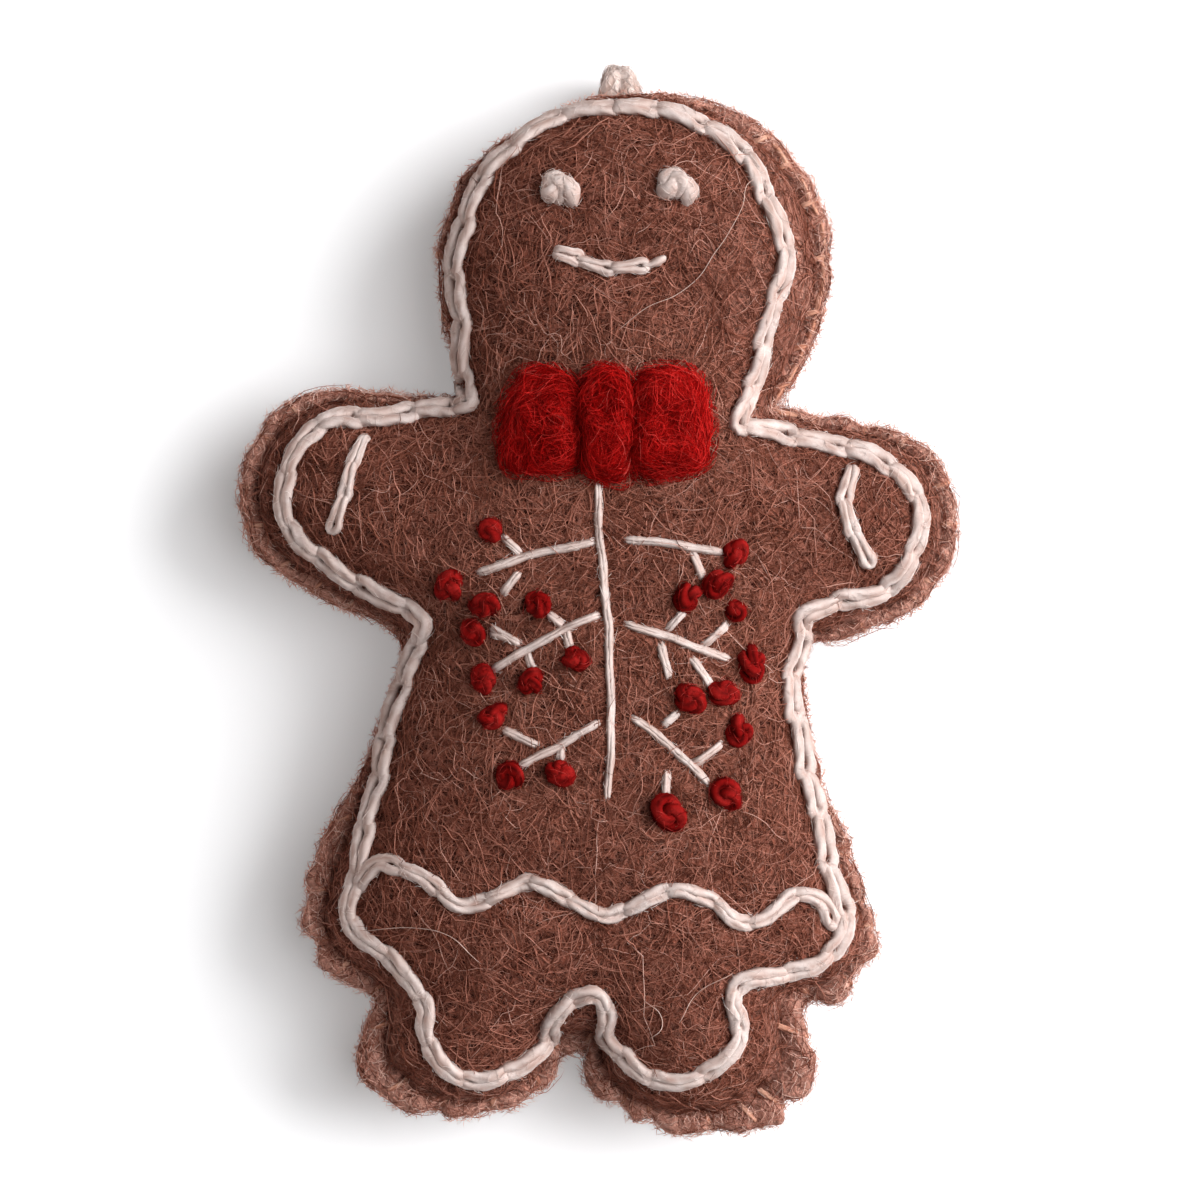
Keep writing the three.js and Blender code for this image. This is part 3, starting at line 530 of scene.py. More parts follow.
LOOP_END_Y = LOOP_NECK_Y - 29.0


def loop_route():
    left = [(LOOP_X - x, y, z) for x, y, z in LOOP_STRAND]
    right = [(LOOP_X + x, y, z) for x, y, z in reversed(LOOP_STRAND)]
    return through([*left, (LOOP_X, LOOP_END_Y, LOOP_FLOOR), *right], 260)


# Routes of the embroidery over the front, in the plane
HEM = [(-24.4, -28.4), (-22.4, -26.0), (-18.6, -27.1), (-16.1, -29.3), (-13.7, -30.4), (-7.2, -28.0),
       (-3.2, -29.5), (0.4, -31.3), (2.8, -30.9), (7.5, -28.6), (11.4, -29.9), (14.1, -31.9),
       (17.0, -31.7), (20.3, -29.7), (22.7, -30.2), (24.4, -32.8)]
MOUTH_START = [(-4.2, 37.3), (-1.9, 36.7)]
MOUTH_FILL = [(-4.0, 37.2), (-3.0, 37.0), (-2.0, 36.7)]
MOUTH = [(-1.9, 36.7), (0.9, 36.0), (5.1, 36.2)]
MOUTH_TAIL = [(4.6, 36.2), (5.8, 36.5), (7.0, 37.1)]
LEFT_CUFF = [(-24.6, 18.1), (-26.0, 13.5), (-27.8, 8.8)]
RIGHT_CUFF = [(26.2, 14.8), (25.8, 12.0), (26.2, 9.0), (28.1, 5.2)]
STEM = [(-0.1, 13.6), (0.15, 9.0), (0.95, -0.3), (1.2, -6.4), (1.35, -11.4), (1.0, -19.4)]
# Each eye is a knot with a tail of floss beside it.
EYES = {
    "left_eye": {"knot": (-4.2, 44.6), "tail": [(-3.3, 44.9), (-2.6, 44.0), (-2.6, 42.9)]},
    "right_eye": {"knot": (7.8, 45.0), "tail": [(8.8, 44.9), (9.4, 44.0), (9.2, 43.0)]},
}
# A long pale hair that lies across the cheek, and a few on the skirt
HAIRS = [
    [(17.0, 45.7), (15.1, 44.5), (14.7, 42.2), (13.2, 39.2), (12.0, 37.4), (10.5, 35.1), (7.9, 33.0),
     (4.9, 31.5), (2.2, 29.4)],
    [(-25.5, -33.0), (-20.3, -32.6), (-15.4, -33.4), (-12.0, -36.2)],
    [(13.8, -37.2), (11.2, -38.7), (9.5, -40.3), (8.4, -42.4)],
    [(4.9, -40.1), (6.3, -41.2), (6.8, -42.9), (5.7, -44.0)],
]
# Each branch has its own line, its twigs, and its berries with their sizes.
SPRIG = {
    "left_branch_1": {
        "line": [(-0.2, 7.5), (-6.5, 6.2), (-12.6, 4.2)],
        "twigs": [[(-9.9, 8.0), (-8.1, 6.3)], [(-8.2, 4.2), (-9.9, 2.1)]],
        "berries": [(-15.4, 3.1, 3.6), (-11.2, 8.8, 2.7), (-11.7, 1.0, 3.2)],
    },
    "left_branch_2": {
        "line": [(0.1, -0.1), (-4.4, -2.1), (-11.0, -5.9)],
        "twigs": [[(-11.2, -1.4), (-8.0, -3.1)], [(-11.1, -1.9), (-8.6, -2.9)], [(-5.1, 0.0), (-3.6, -1.1)],
                  [(-3.2, -1.6), (-2.9, -3.6)], [(-7.3, -4.2), (-6.7, -5.6)]],
        "berries": [(-11.9, -7.0, 2.9), (-6.9, -7.1, 3.2), (-12.8, -2.0, 3.1), (-6.2, 0.9, 2.9),
                    (-2.3, -4.8, 2.9)],
    },
    "left_branch_3": {
        "line": [(0.1, -11.3), (-4.4, -13.9), (-8.4, -16.0)],
        "twigs": [[(-9.8, -12.0), (-6.3, -13.7)], [(-3.9, -14.0), (-3.9, -15.3)]],
        "berries": [(-9.2, -17.1, 3.4), (-4.0, -16.9, 3.3), (-10.9, -10.8, 3.1)],
    },
    "right_branch_1": {
        "line": [(2.8, 7.7), (8.0, 7.2), (13.1, 6.3)],
        "twigs": [[(9.7, 6.3), (10.9, 3.8)]],
        "berries": [(14.4, 6.4, 3.2), (12.5, 3.1, 3.1)],
    },
    "right_branch_2": {
        "line": [(2.7, -1.0), (8.0, -2.7), (13.6, -4.8)],
        "twigs": [[(9.0, 0.2), (7.2, -1.6)], [(13.4, -1.1), (10.9, -3.2)], [(6.5, -3.1), (7.3, -6.7)],
                  [(9.7, -4.6), (11.7, -7.7)]],
        "berries": [(15.7, -5.3, 3.6), (9.4, 1.8, 3.3), (14.3, 0.4, 2.6), (13.0, -8.4, 3.2)],
    },
    "right_branch_3": {
        "line": [(3.5, -10.7), (7.8, -14.1), (11.5, -17.8)],
        "twigs": [[(8.3, -10.3), (6.8, -11.5)], [(12.9, -13.5), (10.0, -15.6)], [(7.2, -16.4), (7.1, -19.0)]],
        "berries": [(13.2, -19.0, 3.7), (9.6, -9.0, 3.3), (14.6, -12.5, 3.2), (7.3, -21.0, 4.1)],
    },
}
# The bow's pads: middle, width, height, rise, how far the outer side leans in at the top, and the depth
# and size of the hollow in the middle
BOW = {
    "bow_left_lobe": (-6.1, 19.9, 8.8, 10.8, 3.2, 2.0, 1.0, 0.40),
    "bow_knot": (0.9, 19.6, 5.6, 11.6, 3.5, 0.0, 0.2, 0.40),
    "bow_right_lobe": (7.4, 19.8, 8.8, 10.9, 3.4, -0.7, 1.5, 0.17),
}

# The outline stitch lies a little inside the ring where the seam ends, and is nudged here and there:
# place, shift to the right and up, and reach.
STITCH_SHARE = 1.2
STITCH_NUDGES = [
    (18.5, 29.0, -1.2, 0.0, 5.0), (15.0, 21.0, -0.6, -0.2, 3.0), (-19.5, -2.0, 0.8, 0.0, 3.5),
    (-17.4, -45.0, -0.5, 0.0, 4.0), (14.2, -43.6, 0.6, 0.0, 4.0),
    (20.5, -9.0, -1.0, 0.0, 5.0), (2.7, 53.0, 0.0, -0.3, 8.0), (12.5, 50.0, 0.3, 0.3, 5.0),
    (-6.2, -43.2, 1.0, 0.0, 2.4), (2.5, -43.6, -1.4, 0.0, 2.8), (-0.7, -40.7, 0.3, 0.8, 2.2),
]


def stitch_route():
    """The closed route of the outline stitch."""
    points = ring(STITCH_SHARE, RIM_STEP)
    for x, y, right, up, reach in STITCH_NUDGES:
        points = points + nearness(points, x, y, reach)[:, None] * np.array([right, up])
    return points


# Felt panels
RIM_STEP = 0.5
FELT_PITCH = 0.85
# Rings across the seam: share from the rim to the outline stitch, and share of the flange's height.
BAND = [(0.0, 0.07), (-0.07, 0.38), (-0.05, 0.70), (0.03, 0.92), (0.14, 1.0), (0.26, 0.98), (0.36, 0.86),
        (0.44, 0.66), (0.5, 0.56), (0.56, 0.66), (0.64, 0.86), (0.74, 0.98), (0.86, 1.0), (1.0, 1.0)]
OUTER_RING, CREST_RING, VALLEY_RING = 1, 4, 8
EDGE_RINGS = 4  # the first rings turn over the cut edge and have no lining


class Layout:
    """Places of a felt panel: rings over the band with points a step apart, then a fill inside the outline
    stitch with points a pitch apart."""

    def __init__(self, band, step, pitch):
        self.band = band
        rings = [ring(share, step) for share, _ in band]
        self.size = len(rings[0])
        stitch = rings[-1]
        low, high = stitch.min(axis=0), stitch.max(axis=0)
        rows = []
        for row, y in enumerate(np.arange(low[1], high[1], pitch * math.sqrt(3) / 2)):
            x = np.arange(low[0] + (row % 2) * pitch / 2, high[0], pitch)
            rows.append(np.column_stack([x, np.full(len(x), y)]))
        fill = np.vstack(rows)
        fill = fill[inside(stitch, fill)]
        fill = fill[distance(stitch, fill) > 0.55 * pitch]
        self.places = np.vstack([*rings, fill])
        self.shares = np.concatenate([np.full(self.size, share) for share, _ in band] + [np.ones(len(fill))])
        self.heights = np.concatenate([np.full(self.size, h) for _, h in band] + [np.ones(len(fill))])
        self.inner_start = (len(band) - 1) * self.size
        self.strips = [self.strip(k * self.size, (k + 1) * self.size) for k in range(len(band) - 1)]
        self.core = self.triangles(self.places[self.inner_start:])

    def strip(self, outer, inner):
        here = np.arange(self.size)
        after = np.roll(here, -1)
        return np.column_stack([outer + here, inner + here, inner + after, outer + after]).tolist()

    def triangles(self, places):
        edges = [(i, (i + 1) % self.size) for i in range(self.size)]
        _, _, faces, origins, _, _ = delaunay_2d_cdt([Vector(p) for p in places], edges, [], 1, 1e-7)
        first = [origin[0] + self.inner_start for origin in origins]
        return [[first[i] for i in face] for face in faces]

    def faces(self, first=0):
        """The faces from one of the rings inwards."""
        return [face for strip in self.strips[first:] for face in strip] + self.core


# The rim is tight round the head and the arms, and rolls loosely at the hips and the feet.
LOOSE_RIM_Y = (-14.0, -24.0)
TIGHT_RIM = 0.42
RIM_TRIM = 0.3  # the fibres stand out by about this much
RIM_WAVE = 0.18
STITCH_PULL = 1.25  # how far a seam stitch draws the rim in, and the share of its height that it takes
STITCH_SINK = 0.45
ROLL_OUT = 0.5  # how far the rim rolls out and up between the stitches
ROLL_UP = 0.35
STUFFING_LUMPS = [(0.2, 7.0), (0.08, 2.5)]  # height and size
# Tucks in the rim that stand out, and lumps, whose depth is below zero: place, depth and width
RIM_TUCKS = [
    (-7.2, 52.3, 1.1, 5.0), (-1.4, 54.8, 0.35, 3.0), (-14.0, 46.8, 0.2, 4.0), (2.3, 55.0, 0.35, 4.0),
    (23.4, 43.6, 0.4, 4.0),
    (-16.7, 41.0, 0.4, 4.0), (24.3, 34.1, 0.5, 4.0), (-14.6, 25.0, 0.5, 3.0), (-27.2, 23.8, 0.35, 5.0),
    (-37.5, 13.0, 0.25, 6.0), (-31.4, 3.0, 0.25, 4.0), (-24.1, -1.7, 0.6, 3.0), (-21.4, -7.0, 0.6, 3.0),
    (21.4, -7.6, 2.3, 4.0), (-26.2, -18.1, -0.7, 2.0), (-28.0, -22.5, -1.7, 4.0), (-30.5, -28.2, -1.2, 2.4),
    (-30.6, -31.1, 0.4, 0.9), (26.2, -24.0, -1.0, 3.0), (28.2, -37.2, 0.8, 0.9), (26.6, -40.2, -1.6, 1.7),
    (23.6, -41.6, -1.8, 1.6), (21.9, -45.4, 1.1, 0.9), (22.9, -47.8, 0.6, 2.4), (20.2, -51.8, 0.7, 0.9),
    (19.0, -53.0, -0.6, 1.5), (9.7, -55.3, 0.6, 4.0), (-25.8, -46.0, 0.5, 3.0), (-17.7, -52.6, -0.4, 2.0),
    (-5.6, -49.5, -0.8, 1.5), (-2.6, -46.2, -0.8, 1.6),
]
RIM_POINTS = ring(0.0, RIM_STEP)
RIM_PLACES = along(np.vstack([RIM_POINTS, RIM_POINTS[:1]]))
RIM_LENGTH = RIM_PLACES[-1]
RIM_PLACES = RIM_PLACES[:-1]


def looseness(y):
    """How loosely the rim rolls at a level of the figure, up to 1."""
    t = np.clip((LOOSE_RIM_Y[0] - y) / (LOOSE_RIM_Y[0] - LOOSE_RIM_Y[1]), 0, 1)
    return TIGHT_RIM + (1 - TIGHT_RIM) * t


def seam_stations():
    """Places along the rim where the seam stitches pull it in, and how hard each one pulls."""
    dice = np.random.default_rng(11)
    count = round(RIM_LENGTH / SEAM_PITCH)
    stations = (np.arange(count) + dice.uniform(-0.36, 0.36, count)) * RIM_LENGTH / count
    level = np.interp(stations, RIM_PLACES, RIM_POINTS[:, 1])
    return stations, dice.uniform(0.15, 1.0, count) * looseness(level)


STATIONS, PULLS = seam_stations()


def pinch(width):
    """Pull of the seam stitches at each rim point, falling off along the rim over the given width."""
    gap = np.abs(RIM_PLACES[:, None] - STATIONS[None, :])
    gap = np.minimum(gap, RIM_LENGTH - gap)
    return (PULLS * np.exp(-(gap / width) ** 2)).max(axis=1)


def dent_lines():
    """Where the embroidery sinks into the felt: points, depth and half width."""
    lines = [(stitch_route(), 0.55, 1.3), (through(HEM, 120), 0.5, 1.3), (through(MOUTH, 30), 0.45, 1.1),
             (through(LEFT_CUFF, 24), 0.35, 1.0), (through(RIGHT_CUFF, 24), 0.35, 1.0),
             (through(STEM, 80), 0.3, 0.8)]
    lines += [(np.array([eye["knot"]]), 0.4, 2.2) for eye in EYES.values()]
    for branch in SPRIG.values():
        lines.append((through(branch["line"], 40), 0.3, 0.8))
        lines.append((np.array(branch["berries"])[:, :2], 0.35, 1.7))
        lines += [(through(twig, 12), 0.25, 0.7) for twig in branch["twigs"]]
    return lines


DENTS = dent_lines()


class Panel:
    """One felt panel's outer skin over the layout, and its heights over the seam plane."""

    def __init__(self, layout, rise, seed, dents):
        self.layout = layout
        rings = len(layout.band)
        count = rings * layout.size
        shares = layout.shares[:count]
        inward = ring(SEAM_SHARE, RIM_STEP) - RIM_POINTS
        inward /= np.linalg.norm(inward, axis=1)[:, None]
        dice = np.random.default_rng(seed)
        lumps = np.interp(RIM_PLACES, STATIONS, dice.uniform(0.2, 1.0, len(STATIONS)), period=RIM_LENGTH)
        wide = pinch(1.4)
        bulge = lumps * looseness(RIM_POINTS[:, 1]) * (1 - wide)
        waves = bumps(np.column_stack([RIM_PLACES, 0 * RIM_PLACES]), 5.0, seed)
        pull = RIM_TRIM + STITCH_PULL * wide - ROLL_OUT * bulge + RIM_WAVE * waves
        for x, y, depth, width in RIM_TUCKS:
            pull += depth * nearness(RIM_POINTS, x, y, width)
        hold = np.clip(1 - shares / SEAM_SHARE, 0, 1.1)
        self.places = layout.places.copy()
        self.places[:count] += np.tile(inward, (rings, 1)) * (hold * np.tile(pull, rings))[:, None]
        heights = FLANGE_TOP * layout.heights
        reach = np.clip(1 - (shares - SEAM_SHARE) / 0.3, 0, 1)
        heights[:count] *= 1 - STITCH_SINK * np.tile(pinch(0.75), rings) * reach
        heights[:count] += ROLL_UP * hold * np.tile(bulge, rings) * layout.heights[:count]
        heights += rise * swell(layout.places)
        uneven = sum(height * bumps(layout.places, size, seed + number)
                     for number, (height, size) in enumerate(STUFFING_LUMPS, 1))
        heights += np.clip(layout.shares, 0, 1) * uneven
        for points, depth, width in dents:
            heights -= depth * np.exp(-(distance(points, layout.places) / width) ** 2)
        self.heights = heights


# Cloth: the bag of both panels is blown up by its stuffing, held at the seam and the stitches
BAG_SCALE = 20.0  # the cloth solver works at this scale of the figure
BAG_PRESSURE = 16.0
BAG_FRAMES = 20
BAG_CAP = 1.4  # furthest that a place may move
BAG_START = 0.94  # the share of the swell at which the bag starts
BAG_BAND = [(0.0, 0.4), (0.25, 1.0), (0.5, 0.6), (0.75, 0.95), (1.0, 1.0)]
BAG_STEP = 2.4
BAG_PITCH = 2.6
HELD_RINGS = 3  # from the rim to the seam
SEWN_DEPTH = 0.4  # embroidery that dents the felt by more than this also holds it
SEWN_REACH = 1.4
SEWN_HOLD = 0.75
BAG_CLOTH = {"quality": 6, "tension_stiffness": 12, "compression_stiffness": 12, "shear_stiffness": 6,
             "bending_stiffness": 1.5, "vertex_group_mass": "held", "use_pressure": True,
             "uniform_pressure_force": BAG_PRESSURE}


def stuffed_bag():
    """How far the stuffing pushes each place of the front and of the back, after a cloth run."""
    layout = Layout(BAG_BAND, BAG_STEP, BAG_PITCH)
    places = layout.places
    front = SEAM_Z + FLANGE_TOP * layout.heights + BAG_START * FRONT_SWELL * swell(places)
    back = SEAM_Z - FLANGE_TOP * layout.heights - BAG_START * back_rise(places[:, 1]) * swell(places)
    size, count = layout.size, len(places)
    start = np.vstack([np.column_stack([places, front]), np.column_stack([places, back])])
    start[:size, 2] = SEAM_Z
    faces = layout.faces()
    under = [[i if i < size else i + count for i in reversed(face)] for face in faces]
    keep = np.ones(2 * count, bool)
    keep[count:count + size] = False
    order = np.cumsum(keep) - 1
    bag_faces = [[int(order[i]) for i in face] for face in faces + under]
    mesh = bpy.data.meshes.new("bag")
    mesh.from_pydata((start[keep] * MM * BAG_SCALE).tolist(), [], bag_faces)
    bag = linked("bag", mesh)
    held = bag.vertex_groups.new(name="held")
    firm = HELD_RINGS * size
    held.add([int(order[i]) for i in range(firm)], 1.0, "REPLACE")
    held.add([int(order[i + count]) for i in range(size, firm)], 1.0, "REPLACE")
    lines = np.vstack([points for points, depth, _ in DENTS if depth > SEWN_DEPTH])
    sewn = np.flatnonzero(distance(lines, places) < SEWN_REACH)
    held.add([int(order[i]) for i in sewn if i >= firm], SEWN_HOLD, "REPLACE")
    cloth = bag.modifiers.new("cloth", "CLOTH")
    for name, value in BAG_CLOTH.items():
        setattr(cloth.settings, name, value)
    cloth.settings.effector_weights.gravity = 0
    cloth.point_cache.frame_end = BAG_FRAMES
    scene = bpy.context.scene
    for number in range(1, BAG_FRAMES + 1):
        scene.frame_set(number)
    shaped = bag.evaluated_get(bpy.context.evaluated_depsgraph_get())
    moved = np.empty(3 * int(keep.sum()))
    shaped.data.vertices.foreach_get("co", moved)
    scene.frame_set(1)
    bpy.data.objects.remove(bag)
    rise = (moved.reshape(-1, 3)[:, 2] / (MM * BAG_SCALE)) - start[keep][:, 2]
    full = np.zeros(2 * count)
    full[keep] = np.clip(rise, -BAG_CAP, BAG_CAP)
    return places, full[:count], -full[count:]


def spread(known, values, places):
    """Values known at some places, carried smoothly to others."""
    count = 7  # nearest places that have a say
    result = np.empty(len(places))
    for start in range(0, len(places), 1000):
        part = places[start:start + 1000]
        gaps = np.linalg.norm(part[:, None] - known[None], axis=2)
        near = np.argpartition(gaps, count, axis=1)[:, :count]
        weight = 1 / (np.take_along_axis(gaps, near, axis=1) + 0.4) ** 2.5
        result[start:start + 1000] = (weight * values[near]).sum(axis=1) / weight.sum(axis=1)
    return result


def felt_panels():
    """The front and the back, with the push of the stuffing."""
    layout = Layout(BAND, RIM_STEP, FELT_PITCH)
    front = Panel(layout, FRONT_SWELL * BAG_START, 21, DENTS)
    back_heights = back_rise(layout.places[:, 1]) * BAG_START
    back = Panel(layout, back_heights, 31, [])
    known, front_puff, back_puff = stuffed_bag()
    front.heights += spread(known, front_puff, layout.places)
    back.heights += spread(known, back_puff, layout.places)
    return front, back


FRONT, BACK = felt_panels()
FRONT_SKIN = np.column_stack([FRONT.places, SEAM_Z + FRONT.heights])
BACK_SKIN = np.column_stack([BACK.places, np.maximum(SEAM_Z - BACK.heights, 0.02)])
FRONT_TREE = BVHTree.FromPolygons(FRONT_SKIN.tolist(), FRONT.layout.faces())


def felt_height(x, y):
    """Level of the front skin at a place."""
    hit = FRONT_TREE.ray_cast(Vector((x, y, 100.0)), Vector((0, 0, -1)))[0]
    return hit.z if hit else SEAM_Z


def on_felt(places):
    """Points of the front skin over the places, and its normals there."""
    reach = 0.7
    points = []
    normals = []
    for x, y in places:
        slope_x = (felt_height(x + reach, y) - felt_height(x - reach, y)) / (2 * reach)
        slope_y = (felt_height(x, y + reach) - felt_height(x, y - reach)) / (2 * reach)
        points.append((x, y, felt_height(x, y)))
        normals.append(Vector((-slope_x, -slope_y, 1)).normalized())
    return np.array(points), np.array(normals)


# Finishes
def srgb(colour):
    """A colour as it is seen, from 0 to 255, as a shader colour."""
    levels = []
    for value in np.array(colour) / 255:
        levels.append(value / 12.92 if value <= 0.04045 else ((value + 0.055) / 1.055) ** 2.4)
    return (*levels, 1.0)


class Finish(Tree):
    """A material's nodes, round one Principled shader."""

    def __init__(self, name, roughness):
        self.material = bpy.data.materials.new(name)
        self.material.use_nodes = True
        super().__init__(self.material.node_tree)
        self.shader = self.tree.nodes["Principled BSDF"]
        self.shader.inputs["Roughness"].default_value = roughness
        self.shader.inputs["Specular IOR Level"].default_value = 0.04
        self.place = self.scaled(self.node("ShaderNodeTexCoord").sibling("Object"), 1 / MM)

    def colour(self, value):
        self.feed(self.shader.inputs["Base Color"], value)

    def bump(self, height, depth):
        """Raises the surface by up to the depth, in millimetres, where the height is 1."""
        inputs = {"Strength": 1.0, "Distance": depth * MM, "Height": height}
        self.feed(self.shader.inputs["Normal"], self.node("ShaderNodeBump", inputs))

    def strands(self, sizes, width, distortion):
        """Thin curling lines, 1 on a line and 0 off it, from several layers of noise."""
        lines = None
        for layer, size in enumerate(sizes):
            moved = self.vector("ADD", self.place, (37.0 * layer, 11.0 * layer, 23.0 * layer))
            wave = self.noise(moved, size, 1.0, 0.5, distortion)
            ridge = (1 - abs(wave - 0.5) * (1 / width)).clamped()
            lines = ridge if lines is None else ridge.math("MAXIMUM", lines)
        return lines

    def lay(self):
        """Angle round a thread, and distance along it in millimetres."""
        lay = self.node("ShaderNodeAttribute", attribute_name="lay").sibling("Vector")
        x = self.node("ShaderNodeSeparateXYZ", {"Vector": lay})
        return x.sibling("Y").math("ARCTAN2", x), x.sibling("Z")


def wool_felt(name, *colours):
    """Matted wool: pores painted dark as shade in the pits, under a net of curling lighter fibres, with broad
    mottling. A piece may say how far each place has painted light, pale as if lit, along a cut edge. The
    colours are those of the pores' painted shade, the wool, the net and the painted light on the edge."""
    dark, middle, light, edge = (srgb(colour) for colour in colours)
    felt = Finish(name, 0.95)
    brushed = felt.node("ShaderNodeAttribute", attribute_name="brushed").sibling("Fac")
    mottle = felt.noise(felt.place, 0.16, 2.0)
    # Painted shade: the pores are painted dark as shade in the pits between fibres; they also give the bump
    # its relief.
    pores = felt.noise(felt.place, 1.15, 3.0, 0.65, 0.5).between(0.40, 0.60)
    net = felt.strands((0.55, 0.75, 1.0, 1.3), 0.035, 1.5)
    ground = felt.mixed(pores, dark, middle)
    netted = felt.mixed(net * (0.25 + 0.75 * mottle), ground, light)
    # Painted light: where a piece marks a place, its colour goes over to the pale edge colour, as if lit.
    felt.colour(felt.mixed(brushed * (0.6 + 0.4 * pores), netted, edge))
    felt.bump(0.55 * pores + 0.45 * net, 0.25)
    return felt.material


def spun_floss(name, turns, plies, *colours):
    """Twisted floss: fine strands that wind along the thread, with painted shade in the grooves. The
    colours are those of the painted groove shade, the strands and their light places."""
    shade, middle, light = (srgb(colour) for colour in colours)
    floss = Finish(name, 0.8)
    angle, length = floss.lay()
    # Painted shade: away from the crown of each ply the colour goes towards the shade colour, as shade in the
    # grooves; the same wave gives the bump.
    groove = (0.5 + 0.5 * (angle * plies + length * turns).math("SINE")) ** 0.6
    fuzz = floss.noise(floss.place, 3.2, 3.0, 0.6, 0.8)
    mottle = floss.noise(floss.place, 0.5, 2.0)
    ground = floss.mixed(groove * (0.55 + 0.45 * fuzz), shade, middle)
    floss.colour(floss.mixed(mottle.between(0.35, 0.7) * fuzz, ground, light))
    floss.bump(0.6 * groove + 0.4 * fuzz, 0.12)
    return floss.material


def loose_fibre(name, *stops):
    """Single fibres: the tint runs through the stops across the fibre map, and both ends are darker."""
    stops = [(place, srgb(colour)) for place, colour in stops]
    fibre = Finish(name, 0.8)
    fibre_map = fibre.node("ShaderNodeUVMap", uv_map="OFBake")
    tint = fibre.node("ShaderNodeSeparateXYZ", {"Vector": fibre_map})
    ramp = fibre.node("ShaderNodeValToRGB", {"Fac": tint}, stops=stops)
    ends = abs(tint.sibling("Y") - 0.5).between(0.30, 0.52)
    fibre.colour(fibre.mixed(ends * 0.35, ramp, stops[0][1]))
    return fibre.material


# The first colour of each felt is the painted shade of its pores, and the last the painted light of its cut
# edge; only the panels mark where that edge light shows.
FELT_FINISH = wool_felt("brown_felt", (48, 20, 14), (143, 83, 67), (186, 124, 106), (218, 160, 142))
BOW_FINISH = wool_felt("red_wool", (74, 0, 0), (174, 12, 10), (208, 44, 40), (208, 44, 40))
FILL_FINISH = wool_felt("wool_fill", (168, 158, 146), (214, 206, 196), (238, 233, 226), (238, 233, 226))
# The first colour of each floss is the painted shade of its grooves.
FLOSS_FINISH = spun_floss("cream_floss", 2.4, 3, (182, 152, 142), (212, 193, 186), (226, 214, 210))
BERRY_FINISH = spun_floss("red_floss", 2.4, 3, (60, 0, 0), (132, 12, 11), (166, 36, 33))
CORD_FINISH = spun_floss("cream_cord", 1.6, 4, (210, 182, 170), (226, 207, 199), (234, 222, 217))
SEAM_FINISH = spun_floss("seam_cotton", 3.0, 3, (160, 101, 80), (208, 149, 124), (230, 186, 164))
HAIR_FINISH = spun_floss("pale_hair", 1.0, 1, (186, 148, 134), (214, 180, 167), (232, 208, 198))
FELT_FIBRE = loose_fibre("brown_fibre", (0.0, (82, 41, 30)), (0.4, (142, 84, 67)), (0.85, (188, 127, 109)),
                         (1.0, (230, 196, 183)))
# Painted light: the fibres of the rim and of the seam are paler than the felt's own, as if lit.
LIT_RIM_FIBRE = loose_fibre("rim_fibre", (0.0, (184, 124, 106)), (0.5, (228, 176, 158)), (1.0, (243, 212, 199)))
BOW_FIBRE = loose_fibre("red_fibre", (0.0, (96, 0, 0)), (0.5, (178, 14, 12)), (0.88, (208, 44, 40)),
                        (1.0, (232, 144, 132)))
BERRY_FIBRE = loose_fibre("red_floss_fibre", (0.0, (88, 3, 3)), (0.6, (140, 16, 14)), (1.0, (188, 66, 60)))
PALE_FIBRE = loose_fibre("cream_fibre", (0.0, (198, 171, 160)), (0.5, (220, 202, 195)),
                         (1.0, (234, 224, 219)))


# Pieces
def skin_mesh(name, points, faces, edges=()):
    """A mesh from points in millimetres."""
    mesh = bpy.data.meshes.new(name)
    mesh.from_pydata((np.asarray(points) * MM).tolist(), edges, faces)
    return mesh


def piece_of(name, points, faces, material):
    """A smooth-shaded piece from points in millimetres."""
    mesh = skin_mesh(name, points, faces)
    mesh.polygons.foreach_set("use_smooth", np.ones(len(mesh.polygons), bool))
    mesh.materials.append(material)
    return linked(name, mesh)


def flipped(faces, shift=0):
    """The faces turned over, with their points' numbers shifted."""
    return [[i + shift for i in reversed(face)] for face in faces]


def quads(size, outer, inner):
    """Faces between two closed rings, from the numbers of their first points."""
    here = np.arange(size)
    after = np.roll(here, -1)
    return np.column_stack([outer + here, outer + after, inner + after, inner + here]).tolist()


def spun_thread_tree():
    """Round threads along polylines, with plies that twist round them."""
    tree = ShapeTree("spun_thread", Radius=0.0005, Plies=3, Ply_Depth=0.1, Twist=900.0, Sides=10)
    curve = tree.node("GeometryNodeMeshToCurve", {"Mesh": tree["Geometry"]})
    length = tree.node("GeometryNodeSplineParameter").sibling("Length")
    curve = tree.stored(curve, "along", length)
    curve = tree.node("GeometryNodeSetCurveTilt", {"Curve": curve, "Tilt": length * tree["Twist"]})
    circle = tree.node("GeometryNodeCurvePrimitiveCircle",
                       {"Resolution": tree["Sides"], "Radius": tree["Radius"]})
    angle = tree.node("GeometryNodeSplineParameter") * (2 * math.pi)
    lobes = (angle * tree["Plies"]).math("COSINE")
    share = 1 - tree["Ply Depth"] * (0.5 - 0.5 * lobes)
    place = tree.scaled(tree.node("GeometryNodeInputPosition"), share)
    circle = tree.node("GeometryNodeSetPosition", {"Geometry": circle, "Position": place})
    circle = tree.stored(circle, "turn", angle)
    tube = tree.swept(curve, circle, "thickness")
    turn = tree.named("turn")
    lay = tree.joined(turn.math("COSINE"), turn.math("SINE"), tree.named("along") * (1 / MM))
    return tree.finish(tree.stored(tube, "lay", lay, "FLOAT_VECTOR"))


SPUN_THREAD = spun_thread_tree()


